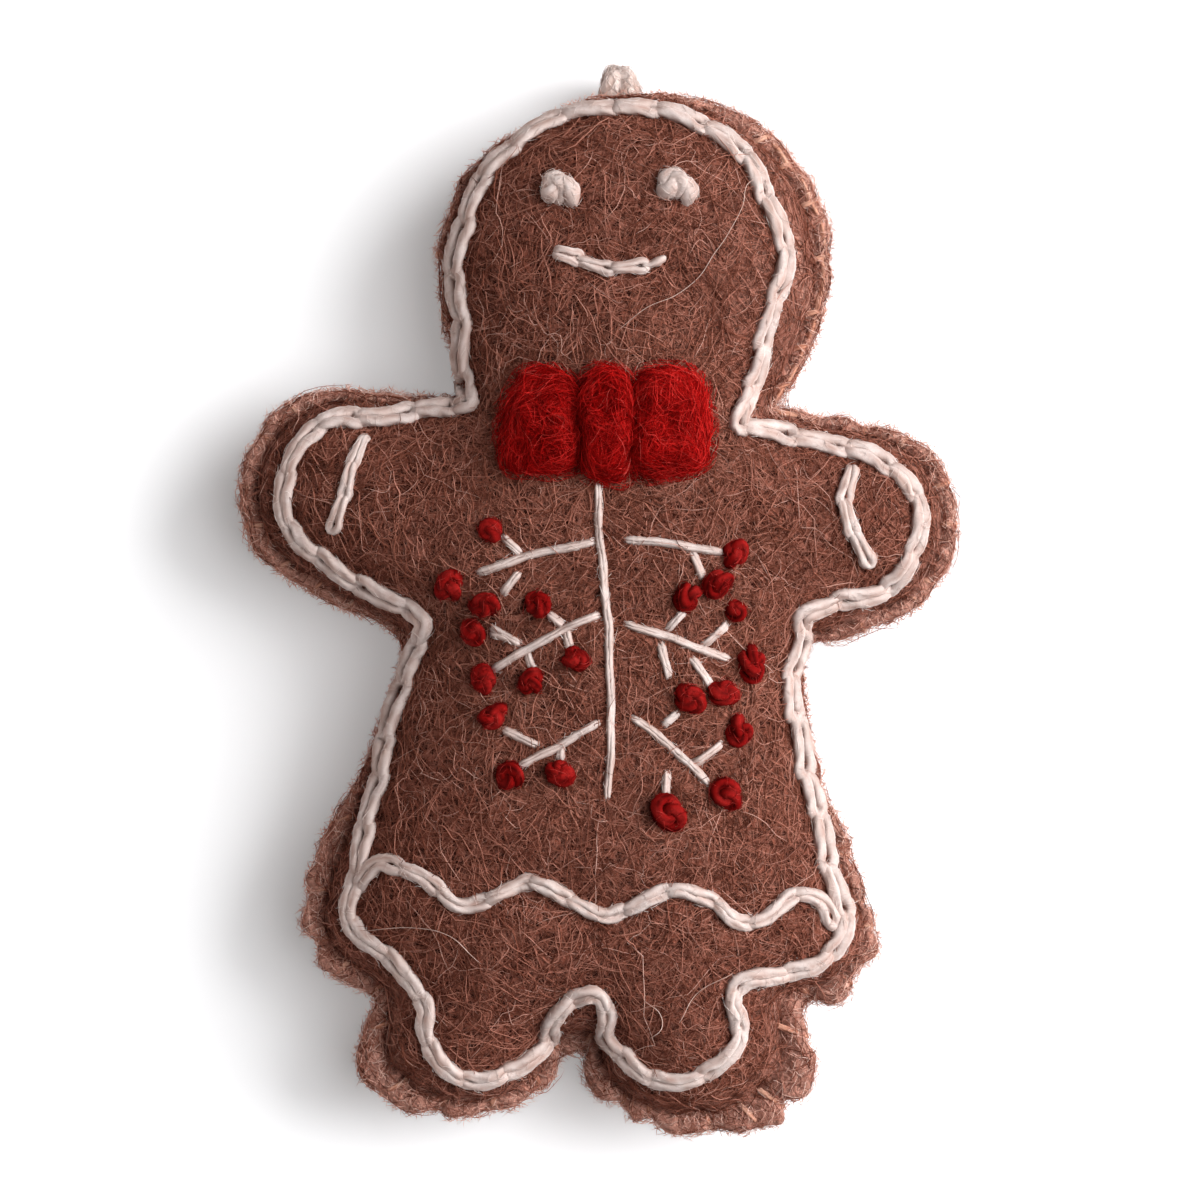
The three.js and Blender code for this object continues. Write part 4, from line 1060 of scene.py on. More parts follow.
def thread_piece(name, paths, material, radius, plies=3, depth=0.16, twist=0.8, sides=12, ends=0.6):
    """A piece of one or more threads. Twist is in radians per millimetre, and the ends taper."""
    edges = []
    thickness = []
    start = 0
    for path in paths:
        count = len(path)
        edges += [(start + i, start + i + 1) for i in range(count - 1)]
        start += count
        uneven = 0.07 * np.sin(0.4 * np.arange(count) + start) + 0.05 * np.sin(0.9 * np.arange(count))
        thickness.append((1 + uneven) * (1 - (1 - ends) * np.abs(np.linspace(-1, 1, count)) ** 12))
    host = skin_mesh(name + "_paths", np.vstack(paths), [], edges)
    values = host.attributes.new("thickness", "FLOAT", "POINT")
    values.data.foreach_set("value", np.concatenate(thickness))
    return SPUN_THREAD.grow(name, host, material, Radius=radius * MM, Plies=plies, Ply_Depth=depth,
                            Twist=twist / MM, Sides=sides)


# Chain stitch: one strand of a link, as places along the link, beside it and over the felt
LINK_STRAND = [(-0.90, 0.16, -0.50), (-0.30, 0.26, 0.30), (0.40, 0.38, 0.74), (1.40, 0.43, 0.74),
               (2.60, 0.44, 0.66), (3.40, 0.50, 0.58), (4.10, 0.62, 0.48), (4.80, 0.44, 0.38)]
LINK_TIP = (5.2, 0.0, 0.32)
SNUG = (-1.0, 53.0, 10.0)  # over the head the links are drawn narrow: x, y and reach
SNUG_SHARE = 0.5
ZIGZAG = 0.34  # furthest that a link's ends lie beside the route, as a share of the width


def chain_paths(route, links, width, seed, zigzag=ZIGZAG, closed=False):
    """The links of a chain stitch along a route over the front."""
    if closed:
        route = np.vstack([route, route[:1]])
    step = 0.25
    length = along(route)[-1]
    track = spaced(route, round(length / step) + 1)
    headings, _ = headings_of(track)
    dice = np.random.default_rng(seed)
    joins = np.arange(links + 1.0)
    joins[1:-1] += dice.uniform(-0.13, 0.13, links - 1)
    joins *= length / links
    sway = width * dice.uniform(0.08, zigzag, links + 1) * (-1.0) ** np.arange(links + 1)
    sway[-1] = sway[0]
    paths = []
    for start, end, side, next_side in zip(joins, joins[1:], sway, sway[1:]):
        open_up = width * dice.uniform(0.85, 1.15)
        left = [(a, b * open_up, h) for a, b, h in LINK_STRAND]
        right = [(a, -b * open_up, h) for a, b, h in reversed(LINK_STRAND)]
        loop = through([*left, LINK_TIP, *right], 32)
        loop[:, 1] += side + (next_side - side) * loop[:, 0] / LINK_LENGTH
        places = start + loop[:, 0] * (end - start) / LINK_LENGTH
        if closed:
            places = places % length
        spot = np.clip(places / length * (len(track) - 1), 0, len(track) - 1.001)
        low = spot.astype(int)
        part = (spot - low)[:, None]
        middle = track[low] * (1 - part) + track[low + 1] * part
        heading = headings[low] * (1 - part) + headings[low + 1] * part
        middle += heading * (places - np.clip(places, 0, length))[:, None]
        beside = np.column_stack([-heading[:, 1], heading[:, 0]])
        across = loop[:, 1] * (1 - SNUG_SHARE * nearness(middle, *SNUG))
        points, normals = on_felt(middle + beside * across[:, None])
        paths.append(points + normals * (loop[:, 2:3] * dice.uniform(0.9, 1.1)))
    return paths


def straight_paths(route, seed):
    """Two strands of floss side by side over the felt, with both ends drawn into it."""
    dice = np.random.default_rng(seed)
    route = np.array(route, float)
    hidden = 0.3  # of each end, below the felt
    route[0] -= hidden * (route[1] - route[0]) / np.linalg.norm(route[1] - route[0])
    route[-1] += hidden * (route[-1] - route[-2]) / np.linalg.norm(route[-1] - route[-2])
    middle = through(route, max(12, round(along(route)[-1] / 0.4)))
    _, beside = headings_of(middle)
    places = along(middle)
    ends = np.minimum(places, places[-1] - places)
    lift = 0.32 - 0.8 * np.exp(-(ends / 0.5) ** 2)
    turn = 0.5 * np.sin(places * 0.5 + dice.uniform(0, 6))
    sway = 0.05 * np.sin(places * 0.9 + dice.uniform(0, 6))
    paths = []
    for side in (-STITCH_GAP, STITCH_GAP):
        points, normals = on_felt(middle + beside * (side * np.cos(turn) + sway)[:, None])
        paths.append(points + normals * (lift + 0.7 * side * np.sin(turn))[:, None])
    return paths


def under_view(x, y):
    """The place on the felt that the camera sees at a place of the seam plane."""
    share = (CAMERA_HEIGHT - felt_height(x, y)) / (CAMERA_HEIGHT - SEAM_Z)
    return tuple(np.array(PHOTO_CENTRE) + share * (np.array([x, y]) - PHOTO_CENTRE))


def knot_path(x, y, size, strand, rounds, dips, seed):
    """A thread tangled on itself into a soft knot that sits on the felt."""
    dice = np.random.default_rng(seed)
    turn = np.linspace(0, 2 * math.pi, 22 * max(rounds, dips) + 1)
    half = size / 2 - strand
    wave = dips * turn - math.pi / 2
    radius = half * (0.56 + 0.44 * np.cos(wave))
    ball = np.column_stack([radius * np.cos(rounds * turn), radius * np.sin(rounds * turn),
                            0.6 * half * np.sin(wave)])
    ball[:, 0] *= dice.uniform(1.0, 1.35)
    ball[:, 1] *= dice.uniform(0.8, 1.0)
    point, normal = on_felt([under_view(x, y)])
    lying = Vector((0, 0, 1)).rotation_difference(Vector(normal[0])).to_matrix()
    tilt = Euler((dice.uniform(-0.6, 0.6), dice.uniform(-0.6, 0.6), dice.uniform(0, 2 * math.pi)), "ZXY")
    return point[0] + ball @ np.array(lying @ tilt.to_matrix()).T + normal[0] * (0.4 * size / 2 - 0.1)


def tail_path(route, lift):
    """A short thick end of floss on the felt, which dives into it."""
    points, normals = on_felt(through(route, 14))
    rise = lift * np.sqrt(np.clip(1 - np.linspace(0, 1, 14) ** 4, 0, 1)) - 0.3
    return points + normals * rise[:, None]


def straight_piece(name, paths):
    return thread_piece(name, paths, FLOSS_FINISH, STITCH_RADIUS, depth=0.1, ends=0.5)


def add_threads():
    """All the embroidery on the front: each piece with the nodes that it stands for."""
    made = []
    border = stitch_route()
    border_links = round(along(border)[-1] / LINK_LENGTH)
    # Route, number of links, width, radius of the floss, zigzag, and whether the chain is closed
    chains = {
        "outline": (border, border_links, 1.0, FLOSS_RADIUS, ZIGZAG, True),
        "hem": (through(HEM, 240), 11, 0.95, 0.58, ZIGZAG, False),
        "mouth": (through(MOUTH, 60), 2, 1.0, 0.45, 0.6, False),
        "left_cuff": (through(LEFT_CUFF, 60), 3, 0.82, 0.46, ZIGZAG, False),
        "right_cuff": (through(RIGHT_CUFF, 60), 3, 0.96, 0.53, ZIGZAG, False),
    }
    for number, (name, (route, links, width, radius, zigzag, closed)) in enumerate(chains.items()):
        paths = chain_paths(route, links, width, 41 + number, zigzag, closed)
        if name == "mouth":
            paths += chain_paths(through(MOUTH_START, 20), 1, 1.35, 39)
            paths += [tail_path(MOUTH_FILL, 0.75), tail_path(MOUTH_TAIL, 0.75)]
        made.append((thread_piece(f"{name}_chain", paths, FLOSS_FINISH, radius), [f"{name}_stitch"]))
    made.append((straight_piece("stem_floss", straight_paths(STEM, 46)), ["stem_stitch"]))
    for number, (name, branch) in enumerate(SPRIG.items()):
        paths = straight_paths(branch["line"], 50 + number)
        for count, twig in enumerate(branch["twigs"]):
            paths += straight_paths(twig, 60 + 7 * number + count)
        nodes = [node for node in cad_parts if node.startswith(name)]
        made.append((straight_piece(f"{name}_floss", paths), nodes))
    for number, (name, eye) in enumerate(EYES.items()):
        knot = knot_path(*eye["knot"], EYE_SIZE, EYE_STRAND, 2, 3, 130 + number)
        paths = [knot, tail_path(eye["tail"], 1.2)]
        made.append((thread_piece(f"{name}_knot", paths, FLOSS_FINISH, EYE_STRAND, ends=0.8), [name]))
    return made


BERRY_WINDINGS = [(2, 3), (3, 2), (3, 4)]  # rounds and dips
BERRY_SPARE = 0.1


def add_berries():
    """Red knots at the tips of the sprig, wound in three ways."""
    paths = []
    for number, branch in enumerate(SPRIG.values()):
        for count, (x, y, size) in enumerate(branch["berries"]):
            rounds, dips = BERRY_WINDINGS[(count + 2 * number) % 3]
            seed = 90 + 11 * number + count
            paths.append(knot_path(x, y, size + BERRY_SPARE, BERRY_STRAND, rounds, dips, seed))
    return thread_piece("berry_knots", paths, BERRY_FINISH, BERRY_STRAND, sides=10)


# Seam stitches show beside the head, right of and above this place, and below this level at the feet.
SEAM_BY_HEAD = (12, 24)
SEAM_FEET_Y = -42
SEAM_LOOP_ROOM = 3.4


def add_seam_stitches():
    """Stitches over the rim, from the valley on the front to the one on the back. Most are sunk in the
    felt. Beside the head the thread also runs from one to the next along the rim."""
    size = FRONT.layout.size

    def ring_of(skin, number):
        return skin[number * size:(number + 1) * size]

    rim, crest, valley = (ring_of(FRONT_SKIN, k) for k in (OUTER_RING, CREST_RING, VALLEY_RING))
    back_crest, back_valley = (ring_of(BACK_SKIN, k) for k in (CREST_RING, VALLEY_RING))
    out = rim[:, :2] - valley[:, :2]
    out /= np.linalg.norm(out, axis=1)[:, None]
    out = np.column_stack([out, np.zeros(size)])
    loop_place = np.array([LOOP_X, LOOP_NECK_Y - LOOP_REACH])
    dice = np.random.default_rng(12)
    spots = [int(np.argmin(np.abs(RIM_PLACES - station))) for station in STATIONS]
    paths = []
    for i, after in zip(spots, spots[1:] + spots[:1]):
        x, y = RIM_POINTS[i]
        j = (i + round(dice.uniform(-3, 3))) % size
        by_head = x > SEAM_BY_HEAD[0] and y > SEAM_BY_HEAD[1]
        low, high = (0.0, 0.2) if by_head or y < SEAM_FEET_Y else (-0.2, 0.0)
        up = np.array([0, 0, dice.uniform(low, high)])
        if np.linalg.norm(RIM_POINTS[i] - loop_place) < SEAM_LOOP_ROOM:
            continue
        edge = rim[i] + 0.1 * out[i]
        edge[2] = SEAM_Z
        front = valley[i] - [0, 0, 0.3]
        back = back_valley[j] + [0, 0, 0.3]
        paths.append(through([front - [0, 0, 0.6], front + up, crest[i] + up, edge, back_crest[j] - up,
                              back - up, back + [0, 0, 0.6]], 18))
        if by_head:
            run = (np.linspace(i, i + (after - i) % size, 7).round().astype(int)) % size
            wander = dice.uniform(-0.5, 0.05, 7)[:, None] * [0, 0, 1]
            paths.append(through(crest[run] + wander, 20))
    return thread_piece("seam_stitches", paths, SEAM_FINISH, SEAM_THREAD_RADIUS, sides=8)


PAINTED_LIGHT_SPOT = (22.5, 36.0, 9.0)  # where the felt beside the head on the right is painted pale as a highlight: x, y and reach
PAINTED_LIGHT_SPOT_SHARE = 0.75


def add_panel(name, panel, skin, sign):
    """A felt panel with its lining, closed round its cut edge."""
    layout = panel.layout
    size = layout.size
    count = len(skin)
    lining = skin.copy()
    level = SEAM_Z + sign * SEAM_GAP / 2
    if sign > 0:
        lining[:, 2] = np.maximum(level, skin[:, 2] - FELT_THICKNESS)
    else:
        lining[:, 2] = np.minimum(level, skin[:, 2] + FELT_THICKNESS)
    edge = flipped(layout.strip(0, EDGE_RINGS * size))
    faces = layout.faces()
    faces += [[i + count if i >= size else i for i in face] for face in edge]
    faces += flipped(layout.faces(EDGE_RINGS), count)
    if sign < 0:
        faces = flipped(faces)
    used = np.unique(np.concatenate(faces))
    order = np.full(2 * count, -1)
    order[used] = np.arange(len(used))
    points = np.vstack([skin, lining])[used]
    piece = piece_of(name, points, [[int(order[i]) for i in face] for face in faces], FELT_FINISH)
    # Painted highlight: beside the head on the right the rim band is made paler still, where the light falls.
    light_spot = nearness(skin, *PAINTED_LIGHT_SPOT)
    light_spot *= np.clip((1.1 - layout.shares) / 0.2, 0, 1)
    # Painted light: the band from the cut edge in towards the stitch is made pale all round, as if lit.
    brushed = np.maximum(np.clip((0.75 - layout.shares) / 0.6, 0, 1), PAINTED_LIGHT_SPOT_SHARE * light_spot)
    values = piece.data.attributes.new("brushed", "FLOAT", "POINT")
    values.data.foreach_set("value", np.tile(brushed, 2)[used])
    return piece


WOOL_SHARE = 0.92  # of the panels' swell
WOOL_SLACK = 0.5  # between the stuffing and the linings
WOOL_LUMP = 0.3
WOOL_EDGE = 0.12  # half of the height at its edge
WOOL_BAND = [(0.8, 1.0), (1.0, 1.0)]
WOOL_STEP = 1.6
WOOL_PITCH = 1.9


def add_wool_fill():
    """The stuffing between the linings, inside the outline stitch."""
    layout = Layout(WOOL_BAND, WOOL_STEP, WOOL_PITCH)
    places, size, count = layout.places, layout.size, len(layout.places)
    rise = swell(places)
    gap = FELT_THICKNESS + WOOL_SLACK
    top = SEAM_Z + FLANGE_TOP + WOOL_SHARE * FRONT_SWELL * rise - gap
    bottom = SEAM_Z - FLANGE_TOP - WOOL_SHARE * back_rise(places[:, 1]) * rise + gap
    lumps = np.where(layout.shares > 0.9, WOOL_LUMP * bumps(places, 4.0, 71), 0)
    top = np.maximum(top - WOOL_LUMP + lumps, SEAM_Z + WOOL_EDGE)
    bottom = np.clip(bottom + WOOL_LUMP + lumps, FELT_THICKNESS + 0.4, SEAM_Z - WOOL_EDGE)
    top[:size] = SEAM_Z + WOOL_EDGE
    bottom[:size] = SEAM_Z - WOOL_EDGE
    points = np.vstack([np.column_stack([places, top]), np.column_stack([places, bottom])])
    faces = layout.faces()
    return piece_of("wool_fill", points, faces + flipped(faces, count) + quads(size, 0, count), FILL_FINISH)


PAD_RINGS = 18
PAD_SPOKES = 72
PAD_SQUARENESS = 2.7
PAD_ROOM = (2.2, 2.0)  # how much wider and higher the felt round a pad is that catches its wisps


def pad_layout(x, y, width, height, lean, seed):
    """Places of a rounded pad in rings from its edge to its middle, with shares of its half sizes."""
    angle = np.linspace(0, 2 * math.pi, PAD_SPOKES, endpoint=False)
    power = PAD_SQUARENESS
    reach = (np.abs(np.cos(angle)) ** power + np.abs(np.sin(angle)) ** power) ** (-1 / power)
    shares = np.linspace(1, 0, PAD_RINGS, endpoint=False)
    u = np.append(np.outer(shares, reach * np.cos(angle)), 0.0)
    v = np.append(np.outer(shares, reach * np.sin(angle)), 0.0)
    outer = np.clip(-np.sign(lean) * u, 0, 1)
    places = np.column_stack([x + u * width / 2 + lean * outer * (0.5 + 0.5 * v), y + v * height / 2])
    places += 0.25 * np.column_stack([bumps(places, 3.0, seed + 5), bumps(places, 3.0, seed + 6)])
    faces = []
    for number in range(PAD_RINGS - 1):
        faces += quads(PAD_SPOKES, number * PAD_SPOKES, (number + 1) * PAD_SPOKES)
    last = (PAD_RINGS - 1) * PAD_SPOKES + np.arange(PAD_SPOKES)
    middle = np.full(PAD_SPOKES, PAD_RINGS * PAD_SPOKES)
    faces += np.column_stack([last, np.roll(last, -1), middle]).tolist()
    return places, u, v, np.append(np.repeat(shares, PAD_SPOKES), 0.0), faces


def bow_pad(name, sizes, seed):
    """A pad of needled wool on the felt under it, and the skins of its crown and of the felt round it."""
    x, y, width, height, rise, lean, hollow, hollow_size = sizes
    places, u, v, shares, faces = pad_layout(x, y, width, height, lean, seed)
    felt, _ = on_felt(places)
    crown = rise * np.sqrt(np.clip(1 - shares ** 3.4, 0, 1))
    crown += (1 - shares ** 6) * (0.32 * bumps(places, 2.6, seed) + 0.15 * bumps(places, 1.1, seed + 1))
    crown -= hollow * np.exp(-(u / hollow_size) ** 2 - (v / hollow_size) ** 2)
    crown -= 0.6 * hollow * (1 - shares ** 2) * np.exp(-((v + 0.27) / 0.11) ** 2)
    count = len(places)
    top = np.column_stack([places, felt[:, 2] + crown - 0.15])
    bottom = np.column_stack([places, felt[:, 2] - 0.7])
    closed = faces + flipped(faces, count) + quads(PAD_SPOKES, count, 0)
    piece = piece_of(name, np.vstack([top, bottom]), closed, BOW_FINISH)
    around = pad_layout(x, y, width + PAD_ROOM[0], height + PAD_ROOM[1], lean, seed)
    around_felt, _ = on_felt(around[0])
    return piece, skin_mesh(f"{name}_skin", top, faces), skin_mesh(f"{name}_round", around_felt, around[-1])


# Fibres
def fibre_tree():
    """Curling fibres scattered over a skin, lying on it or standing a little off it."""
    tree = ShapeTree("fibres", Density=1.0e6, Shortest=0.003, Longest=0.009, Curl=0.0012, Lift=0.0003,
                     Stray=0.001, Stray_Share=0.2, Radius=0.00005, Pale=0.0, Seed=1, Points=8, Spread=math.pi)
    skin = tree["Geometry"]
    spots = tree.node("GeometryNodeDistributePointsOnFaces",
                      {"Mesh": skin, "Density": tree["Density"], "Seed": tree["Seed"]})

    def chance(shift, low=0.0):
        inputs = {"Min": low, "Max": 1.0, "Seed": tree["Seed"] + shift}
        return tree.node("FunctionNodeRandomValue", inputs, data_type="FLOAT")

    # Straight rods at random spots and angles
    spin = tree.node("FunctionNodeAxisAngleToRotation",
                     {"Axis": (0, 0, 1), "Angle": tree["Spread"] * chance(1, -1.0)})
    turn = tree.node("FunctionNodeRotateRotation",
                     {"Rotation": spots.sibling("Rotation"), "Rotate By": spin}, rotation_space="LOCAL")
    rod = tree.node("GeometryNodeCurvePrimitiveLine", {"Start": (-0.5, 0, 0), "End": (0.5, 0, 0)})
    rod = tree.node("GeometryNodeResampleCurve", {"Curve": rod, "Count": tree["Points"]}, mode="COUNT")
    length = tree["Shortest"] + (tree["Longest"] - tree["Shortest"]) * chance(2) ** 1.6
    rods = tree.node("GeometryNodeInstanceOnPoints", {
        "Points": spots, "Instance": rod, "Rotation": turn, "Scale": tree.joined(length, length, length)})
    for name, value in {"tint": chance(3), "luck": chance(4), "reach": length}.items():
        rods = tree.stored(rods, name, value, domain="INSTANCE")
    fibres = tree.node("GeometryNodeRealizeInstances", {"Geometry": rods})

    # Each wanders in its own way and is laid on the skin, and a share of them stray from it.
    tint = tree.named("tint")
    place = tree.node("GeometryNodeInputPosition")

    def wave(size, phase):
        inputs = {"Vector": tree.scaled(place, size / MM), "W": phase, "Scale": 1.0, "Detail": 0.0}
        return tree.node("ShaderNodeTexNoise", inputs, noise_dimensions="4D")

    def swirl(size, shift):
        colour = wave(size, tint * 61.0 + shift).sibling("Color")
        return tree.vector("SUBTRACT", colour, (0.5, 0.5, 0.5))

    broad = tree.scaled(swirl(0.16, 0.0), tree["Curl"] * 5.0)
    fine = tree.scaled(swirl(0.45, 9.0), tree["Curl"] * 1.5)
    wandered = tree.vector("ADD", place, tree.vector("ADD", broad, fine))

    def skin_value(value):
        inputs = {"Mesh": skin, "Value": value, "Sample Position": wandered}
        return tree.node("GeometryNodeSampleNearestSurface", inputs, data_type="FLOAT_VECTOR")

    foot = skin_value(tree.node("GeometryNodeInputPosition"))
    normal = skin_value(tree.node("GeometryNodeInputNormal"))
    part = tree.node("GeometryNodeSplineParameter")
    lying = tree["Lift"] * (wave(0.4, tint * 83.0) * 2.6 - 0.75)
    straying = (tree.named("luck") - (1 - tree["Stray Share"])).math("MAXIMUM", 0.0)
    standing = (straying / (tree["Stray Share"] + 0.001)) * tree["Stray"] * part ** 1.5
    raised = tree.vector("ADD", foot, tree.scaled(normal, lying + standing))
    fibres = tree.node("GeometryNodeSetPosition", {"Geometry": fibres, "Position": raised})

    # Fibres that jump from one part of the skin to another are left out.
    onward = tree.node("GeometryNodeOffsetPointInCurve", {"Offset": 1})
    here = tree.node("GeometryNodeInputPosition")
    onward_place = tree.node("GeometryNodeFieldAtIndex",
                             {"Index": onward.sibling("Point Index"), "Value": here},
                             data_type="FLOAT_VECTOR", domain="POINT")
    step = tree.vector("DISTANCE", here, onward_place) * onward
    jump = step.math("GREATER_THAN", tree.named("reach") / (tree["Points"] - 1) * 2.2 + 0.15 * MM)
    fibres = tree.stored(fibres, "jump", jump)
    torn = tree.named("jump").math("GREATER_THAN", 0.01)
    fibres = tree.node("GeometryNodeDeleteGeometry", {"Geometry": fibres, "Selection": torn}, domain="CURVE")

    # Thin tubes that taper, with the tint and the place along the fibre in their map
    fibres = tree.stored(fibres, "part", part)
    fibres = tree.stored(fibres, "taper", (part * (1 - part) * 4 + 0.03) ** 0.35)
    circle = tree.node("GeometryNodeCurvePrimitiveCircle", {"Resolution": 3, "Radius": tree["Radius"]})
    circle = tree.stored(circle, "turn", tree.node("GeometryNodeSplineParameter"))
    hairs = tree.swept(fibres, circle, "taper")
    shade = tree.named("tint") * 0.9 * (1 - tree["Pale"]) + tree["Pale"] + 0.02 * tree.named("turn")
    fibre_map = tree.joined(shade, tree.named("part"))
    return tree.finish(tree.stored(hairs, "OFBake", fibre_map, "FLOAT2", "CORNER"))


FIBRES = fibre_tree()


# Sets of fibres: material, number per square millimetre, least and greatest length, points on each, lift
# off the skin, how far strays stand off and their share, radius and curl
FUR = {
    "front_fibres": (FELT_FIBRE, 0.46, (3.0, 11.0), 10, 0.28, 1.1, 0.12, 0.046, 1.8),
    "front_fuzz": (FELT_FIBRE, 0.45, (1.0, 3.0), 5, 0.25, 0.7, 0.5, 0.04, 0.5),
    "rim_fuzz": (LIT_RIM_FIBRE, 2.2, (0.7, 2.2), 5, 0.25, 0.95, 0.8, 0.034, 0.4),
    "back_fibres": (FELT_FIBRE, 0.4, (3.0, 9.0), 8, 0.1, 0.1, 0.1, 0.05, 1.2),
    "pale_hairs": (FELT_FIBRE, 0.006, (12.0, 30.0), 24, 0.7, 2.0, 0.2, 0.045, 3.0),
    "floss_fuzz": (PALE_FIBRE, 0.9, (0.7, 2.0), 5, 0.12, 0.45, 0.6, 0.028, 0.35),
    "eye_fuzz": (PALE_FIBRE, 3.0, (0.7, 2.0), 5, 0.12, 0.45, 0.6, 0.028, 0.35),
    "berry_fuzz": (BERRY_FIBRE, 2.2, (0.7, 2.0), 5, 0.12, 0.5, 0.6, 0.03, 0.35),
    "cord_fuzz": (PALE_FIBRE, 4.6, (1.2, 3.4), 6, 0.16, 0.4, 0.5, 0.045, 0.7),
    "seam_fuzz": (LIT_RIM_FIBRE, 3.0, (0.8, 2.6), 5, 0.3, 0.6, 0.6, 0.036, 0.5),
    "bow_fibres": (BOW_FIBRE, 16.0, (2.0, 6.5), 6, 0.4, 1.2, 0.3, 0.036, 0.8),
    "bow_wisps": (BOW_FIBRE, 5.0, (1.5, 4.5), 6, 0.5, 0.9, 0.3, 0.03, 0.7),
}


def fibres_on(skin, name, kind, seed, pale=0.0, spread=math.pi):
    """Fibres of one set over a skin. The pale share leaves the darker tints out, and the spread is the
    greatest angle between a fibre and the level line through its middle."""
    material, density, (shortest, longest), points, lift, stray, stray_share, radius, curl = FUR[kind]
    return FIBRES.grow(name, skin, material, Density=density / MM ** 2, Shortest=shortest * MM,
                       Longest=longest * MM, Curl=curl * MM, Lift=lift * MM, Stray=stray * MM,
                       Stray_Share=stray_share, Radius=radius * MM, Pale=pale, Seed=seed, Points=points,
                       Spread=spread)


FACE_RING = 2  # the fibres of the face start here
EDGE_STRIPS = 6  # the frayed edge goes as far as this


def add_felt_fibres():
    """Fibres over both panels, in pieces, each with its own seed."""
    layout = FRONT.layout
    face = layout.faces(FACE_RING)
    edge = [quad for strip in layout.strips[:EDGE_STRIPS] for quad in strip]
    both_edges = edge + flipped(edge, len(FRONT_SKIN))
    front_skin = skin_mesh("front_skin", FRONT_SKIN, face)
    back_skin = skin_mesh("back_skin", BACK_SKIN, flipped(face))
    edge_skin = skin_mesh("edge_skin", np.vstack([FRONT_SKIN, BACK_SKIN]), both_edges)
    made = []
    for number in range(4):
        made.append(fibres_on(front_skin, f"front_fibres_{number + 1}", "front_fibres", 200 + 17 * number))
    for number in range(2):
        made.append(fibres_on(front_skin, f"front_fuzz_{number + 1}", "front_fuzz", 301 + number))
        made.append(fibres_on(edge_skin, f"rim_fuzz_{number + 1}", "rim_fuzz", 331 + number))
    made.append(fibres_on(back_skin, "back_fibres", "back_fibres", 361))
    made.append(fibres_on(front_skin, "pale_hairs", "pale_hairs", 391, pale=0.9))
    return made


def add_long_hairs():
    lift = 0.75 + 0.3 * np.sin(np.linspace(0, 9, 60))
    paths = []
    for hair in HAIRS:
        points, normals = on_felt(through(hair, len(lift)))
        paths.append(points + normals * lift[:, None])
    return thread_piece("long_hairs", paths, HAIR_FINISH, 0.042, plies=1, depth=0.0, sides=5, ends=0.4)


def add_loop():
    """The hanging cord, from inside the seam round its loop and back."""
    route = loop_route()
    cord = thread_piece("hanging_cord", [route], CORD_FINISH, CORD_DIAMETER / 2, depth=0.08, twist=0.75,
                        sides=18, ends=1.0)
    fuzz = fibres_on(cord.data.copy(), "cord_fuzz", "cord_fuzz", 540)
    for piece in (cord, fuzz):
        LOOP_NECK_Y * MM
        LOOP_NECK_Y * MM
        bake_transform(piece)
    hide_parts("loop_base", "loop_neck", "loop_bight")
    rim_y = LOOP_NECK_Y - LOOP_REACH
    rim_y * MM


def sew_on(piece, slot, *nodes):
    """Sets a piece on the figure and hides the nodes that it stands for. The slot is not used."""
    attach(piece, "figure")
    if nodes:
        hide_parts(*nodes)


def add_figure():
    """Everything that is sewn together and does not move."""
    front = add_panel("front_felt", FRONT, FRONT_SKIN, 1)
    back = add_panel("back_felt", BACK, BACK_SKIN, -1)
    fill = add_wool_fill()
    sew_on(front, "brown_felt", "front_panel")
    sew_on(back, "brown_felt", "back_panel")
    sew_on(fill, "wool_fill", "wool_stuffing")
    seam = add_seam_stitches()
    sew_on(seam, "seam_cotton", "seam_thread")
    sew_on(fibres_on(seam.data.copy(), "seam_fuzz", "seam_fuzz", 551), "seam_cotton")
    threads = add_threads()
    for piece, nodes in threads:
        sew_on(piece, "cream_floss", *nodes)
    berries = add_berries()
    sew_on(berries, "red_floss", *[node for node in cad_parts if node.startswith("berry")])
    for number, (piece, _) in enumerate(threads):
        kind = "eye_fuzz" if "eye" in piece.name else "floss_fuzz"
        sew_on(fibres_on(piece.data.copy(), f"{piece.name}_fuzz", kind, 500 + number), "cream_floss")
    sew_on(fibres_on(berries.data.copy(), f"{berries.name}_fuzz", "berry_fuzz", 531), "red_floss")
    for number, (name, sizes) in enumerate(BOW.items()):
        pad, skin, around = bow_pad(f"{name}_wool", sizes, 80 + 7 * number)
        sew_on(pad, "red_wool", name)
        fur = fibres_on(skin, f"{pad.name}_fibres", "bow_fibres", 400 + 13 * number, spread=0.8)
        wisps = fibres_on(around, f"{pad.name}_wisps", "bow_wisps", 440 + 13 * number)
        sew_on(fur, "red_wool")
        sew_on(wisps, "red_wool")
    for piece in [*add_felt_fibres(), add_long_hairs()]:
        sew_on(piece, "brown_felt")


add_loop()
add_figure()


# Studio
FLOOR_REACH = 1500.0
FLOOR_COLOUR = (244, 244, 246)
FLOOR_GLOW = 0.28  # what the camera sees of the white table beyond its own light
LAMP_DISTANCE = 3.0
ROOM_LIGHT = 0.03
WHITE = (1, 1, 1, 1)


def seen_share(tree):
    """1 for rays of the camera, of a mirror or through glass, and 0 for rays that carry light."""
    ray = tree.node("ShaderNodeLightPath")
    seen = ray.math("MAXIMUM", ray.sibling("Is Glossy Ray"))
    return seen.math("MAXIMUM", ray.sibling("Is Transmission Ray"))


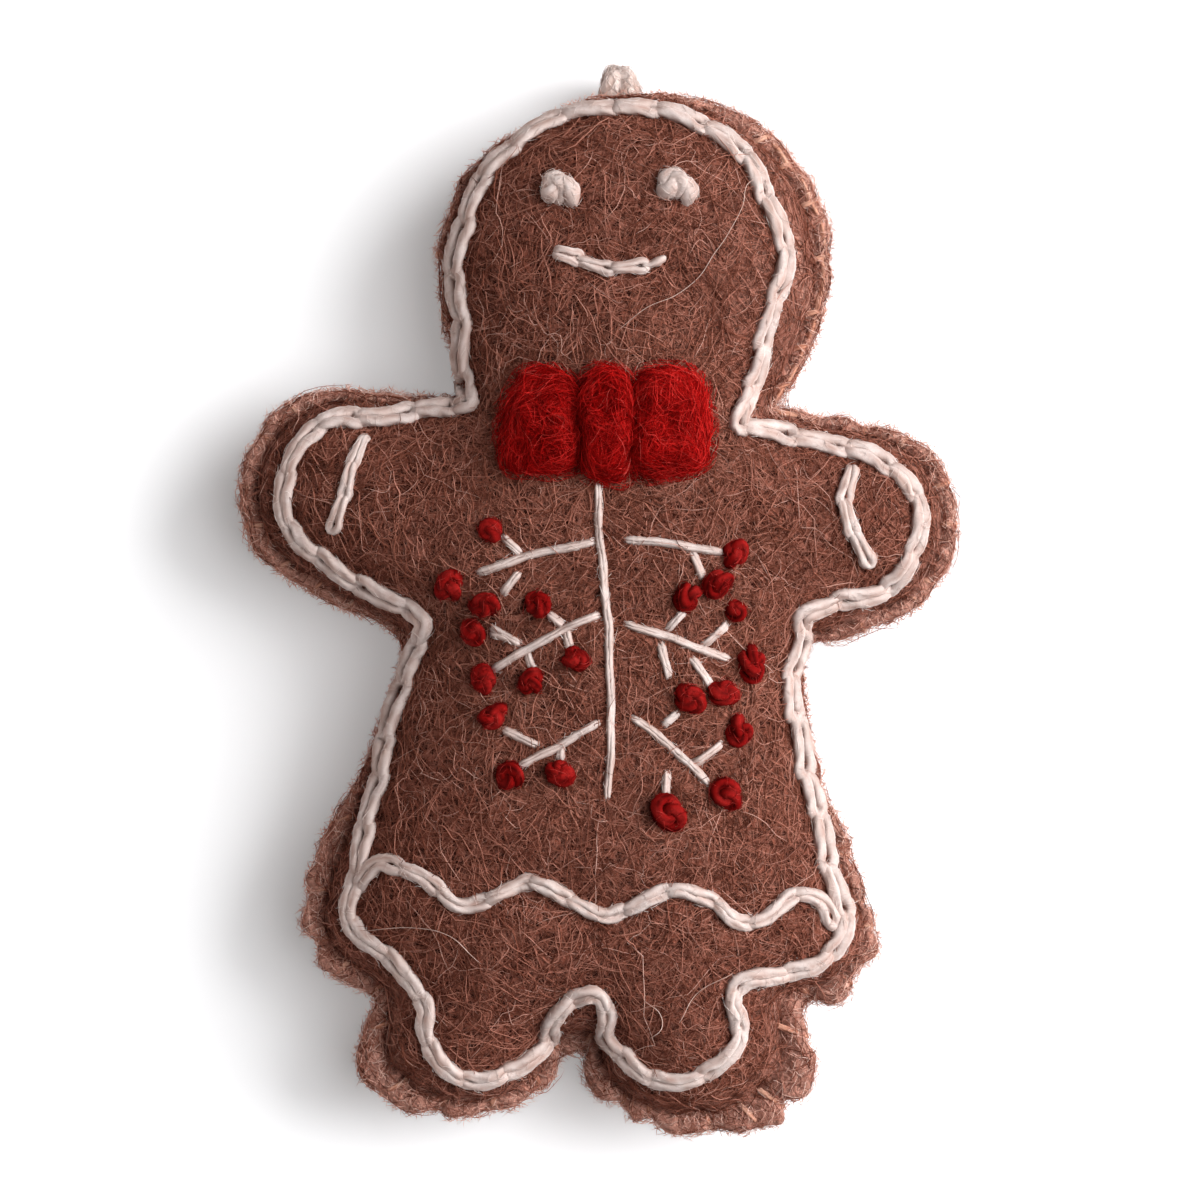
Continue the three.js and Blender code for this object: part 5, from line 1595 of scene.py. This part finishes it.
def add_floor():
    """A white table that keeps the soft shadow."""
    corners = [(x * FLOOR_REACH, y * FLOOR_REACH, 0) for x, y in ((-1, -1), (1, -1), (1, 1), (-1, 1))]
    mesh = skin_mesh("floor", corners, [(0, 1, 2, 3)])
    floor = linked("floor", mesh)
    paper = bpy.data.materials.new("white_table")
    paper.use_nodes = True
    paper.node_tree.nodes.clear()
    tree = Tree(paper.node_tree)
    matt = tree.node("ShaderNodeBsdfDiffuse", {"Color": srgb(FLOOR_COLOUR)})
    strength = seen_share(tree) * FLOOR_GLOW
    glow = tree.node("ShaderNodeEmission", {"Color": WHITE, "Strength": strength})
    both = tree.node("ShaderNodeAddShader", {0: matt, 1: glow})
    tree.node("ShaderNodeOutputMaterial", {"Surface": both})
    mesh.materials.append(paper)


def add_lamp(name, azimuth, elevation, size, energy, colour=(1, 1, 1)):
    """A round lamp that looks at the figure from afar."""
    data = bpy.data.lights.new(name, "AREA")
    data.shape = "DISK"
    data.size = size
    data.energy = energy
    data.color = colour
    turn, lift = math.radians(azimuth), math.radians(elevation)
    lamp = linked(name, data)
    lamp.location = Vector((math.cos(turn) * math.cos(lift), math.sin(turn) * math.cos(lift), math.sin(lift)))
    lamp.location *= LAMP_DISTANCE
    lamp.rotation_euler = lamp.location.to_track_quat("Z", "Y").to_euler()


def add_light():
    """A broad window high on the right, its lower part, a low lamp that grazes the rim on that side, a
    weak warm fill on the left, and surroundings that look white and give little light."""
    add_lamp("window", 4, 64, 2.6, 58.0)
    add_lamp("sill", 18, 36, 2.6, 106.0)
    add_lamp("graze", 8, 16, 1.6, 26.0)
    add_lamp("fill", 184, 5, 1.2, 25.0, (1.0, 0.86, 0.8))
    world = bpy.data.worlds.new("studio")
    world.use_nodes = True
    world.node_tree.nodes.clear()
    tree = Tree(world.node_tree)
    dim = tree.node("ShaderNodeBackground", {"Color": WHITE, "Strength": ROOM_LIGHT})
    white = tree.node("ShaderNodeBackground", {"Color": WHITE, "Strength": 1.0})
    shown = tree.node("ShaderNodeMixShader", {0: seen_share(tree), 1: dim, 2: white})
    tree.node("ShaderNodeOutputWorld", {"Surface": shown})
    bpy.context.scene.world = world


add_floor()
add_light()
bpy.context.scene.view_settings.view_transform = "Standard"
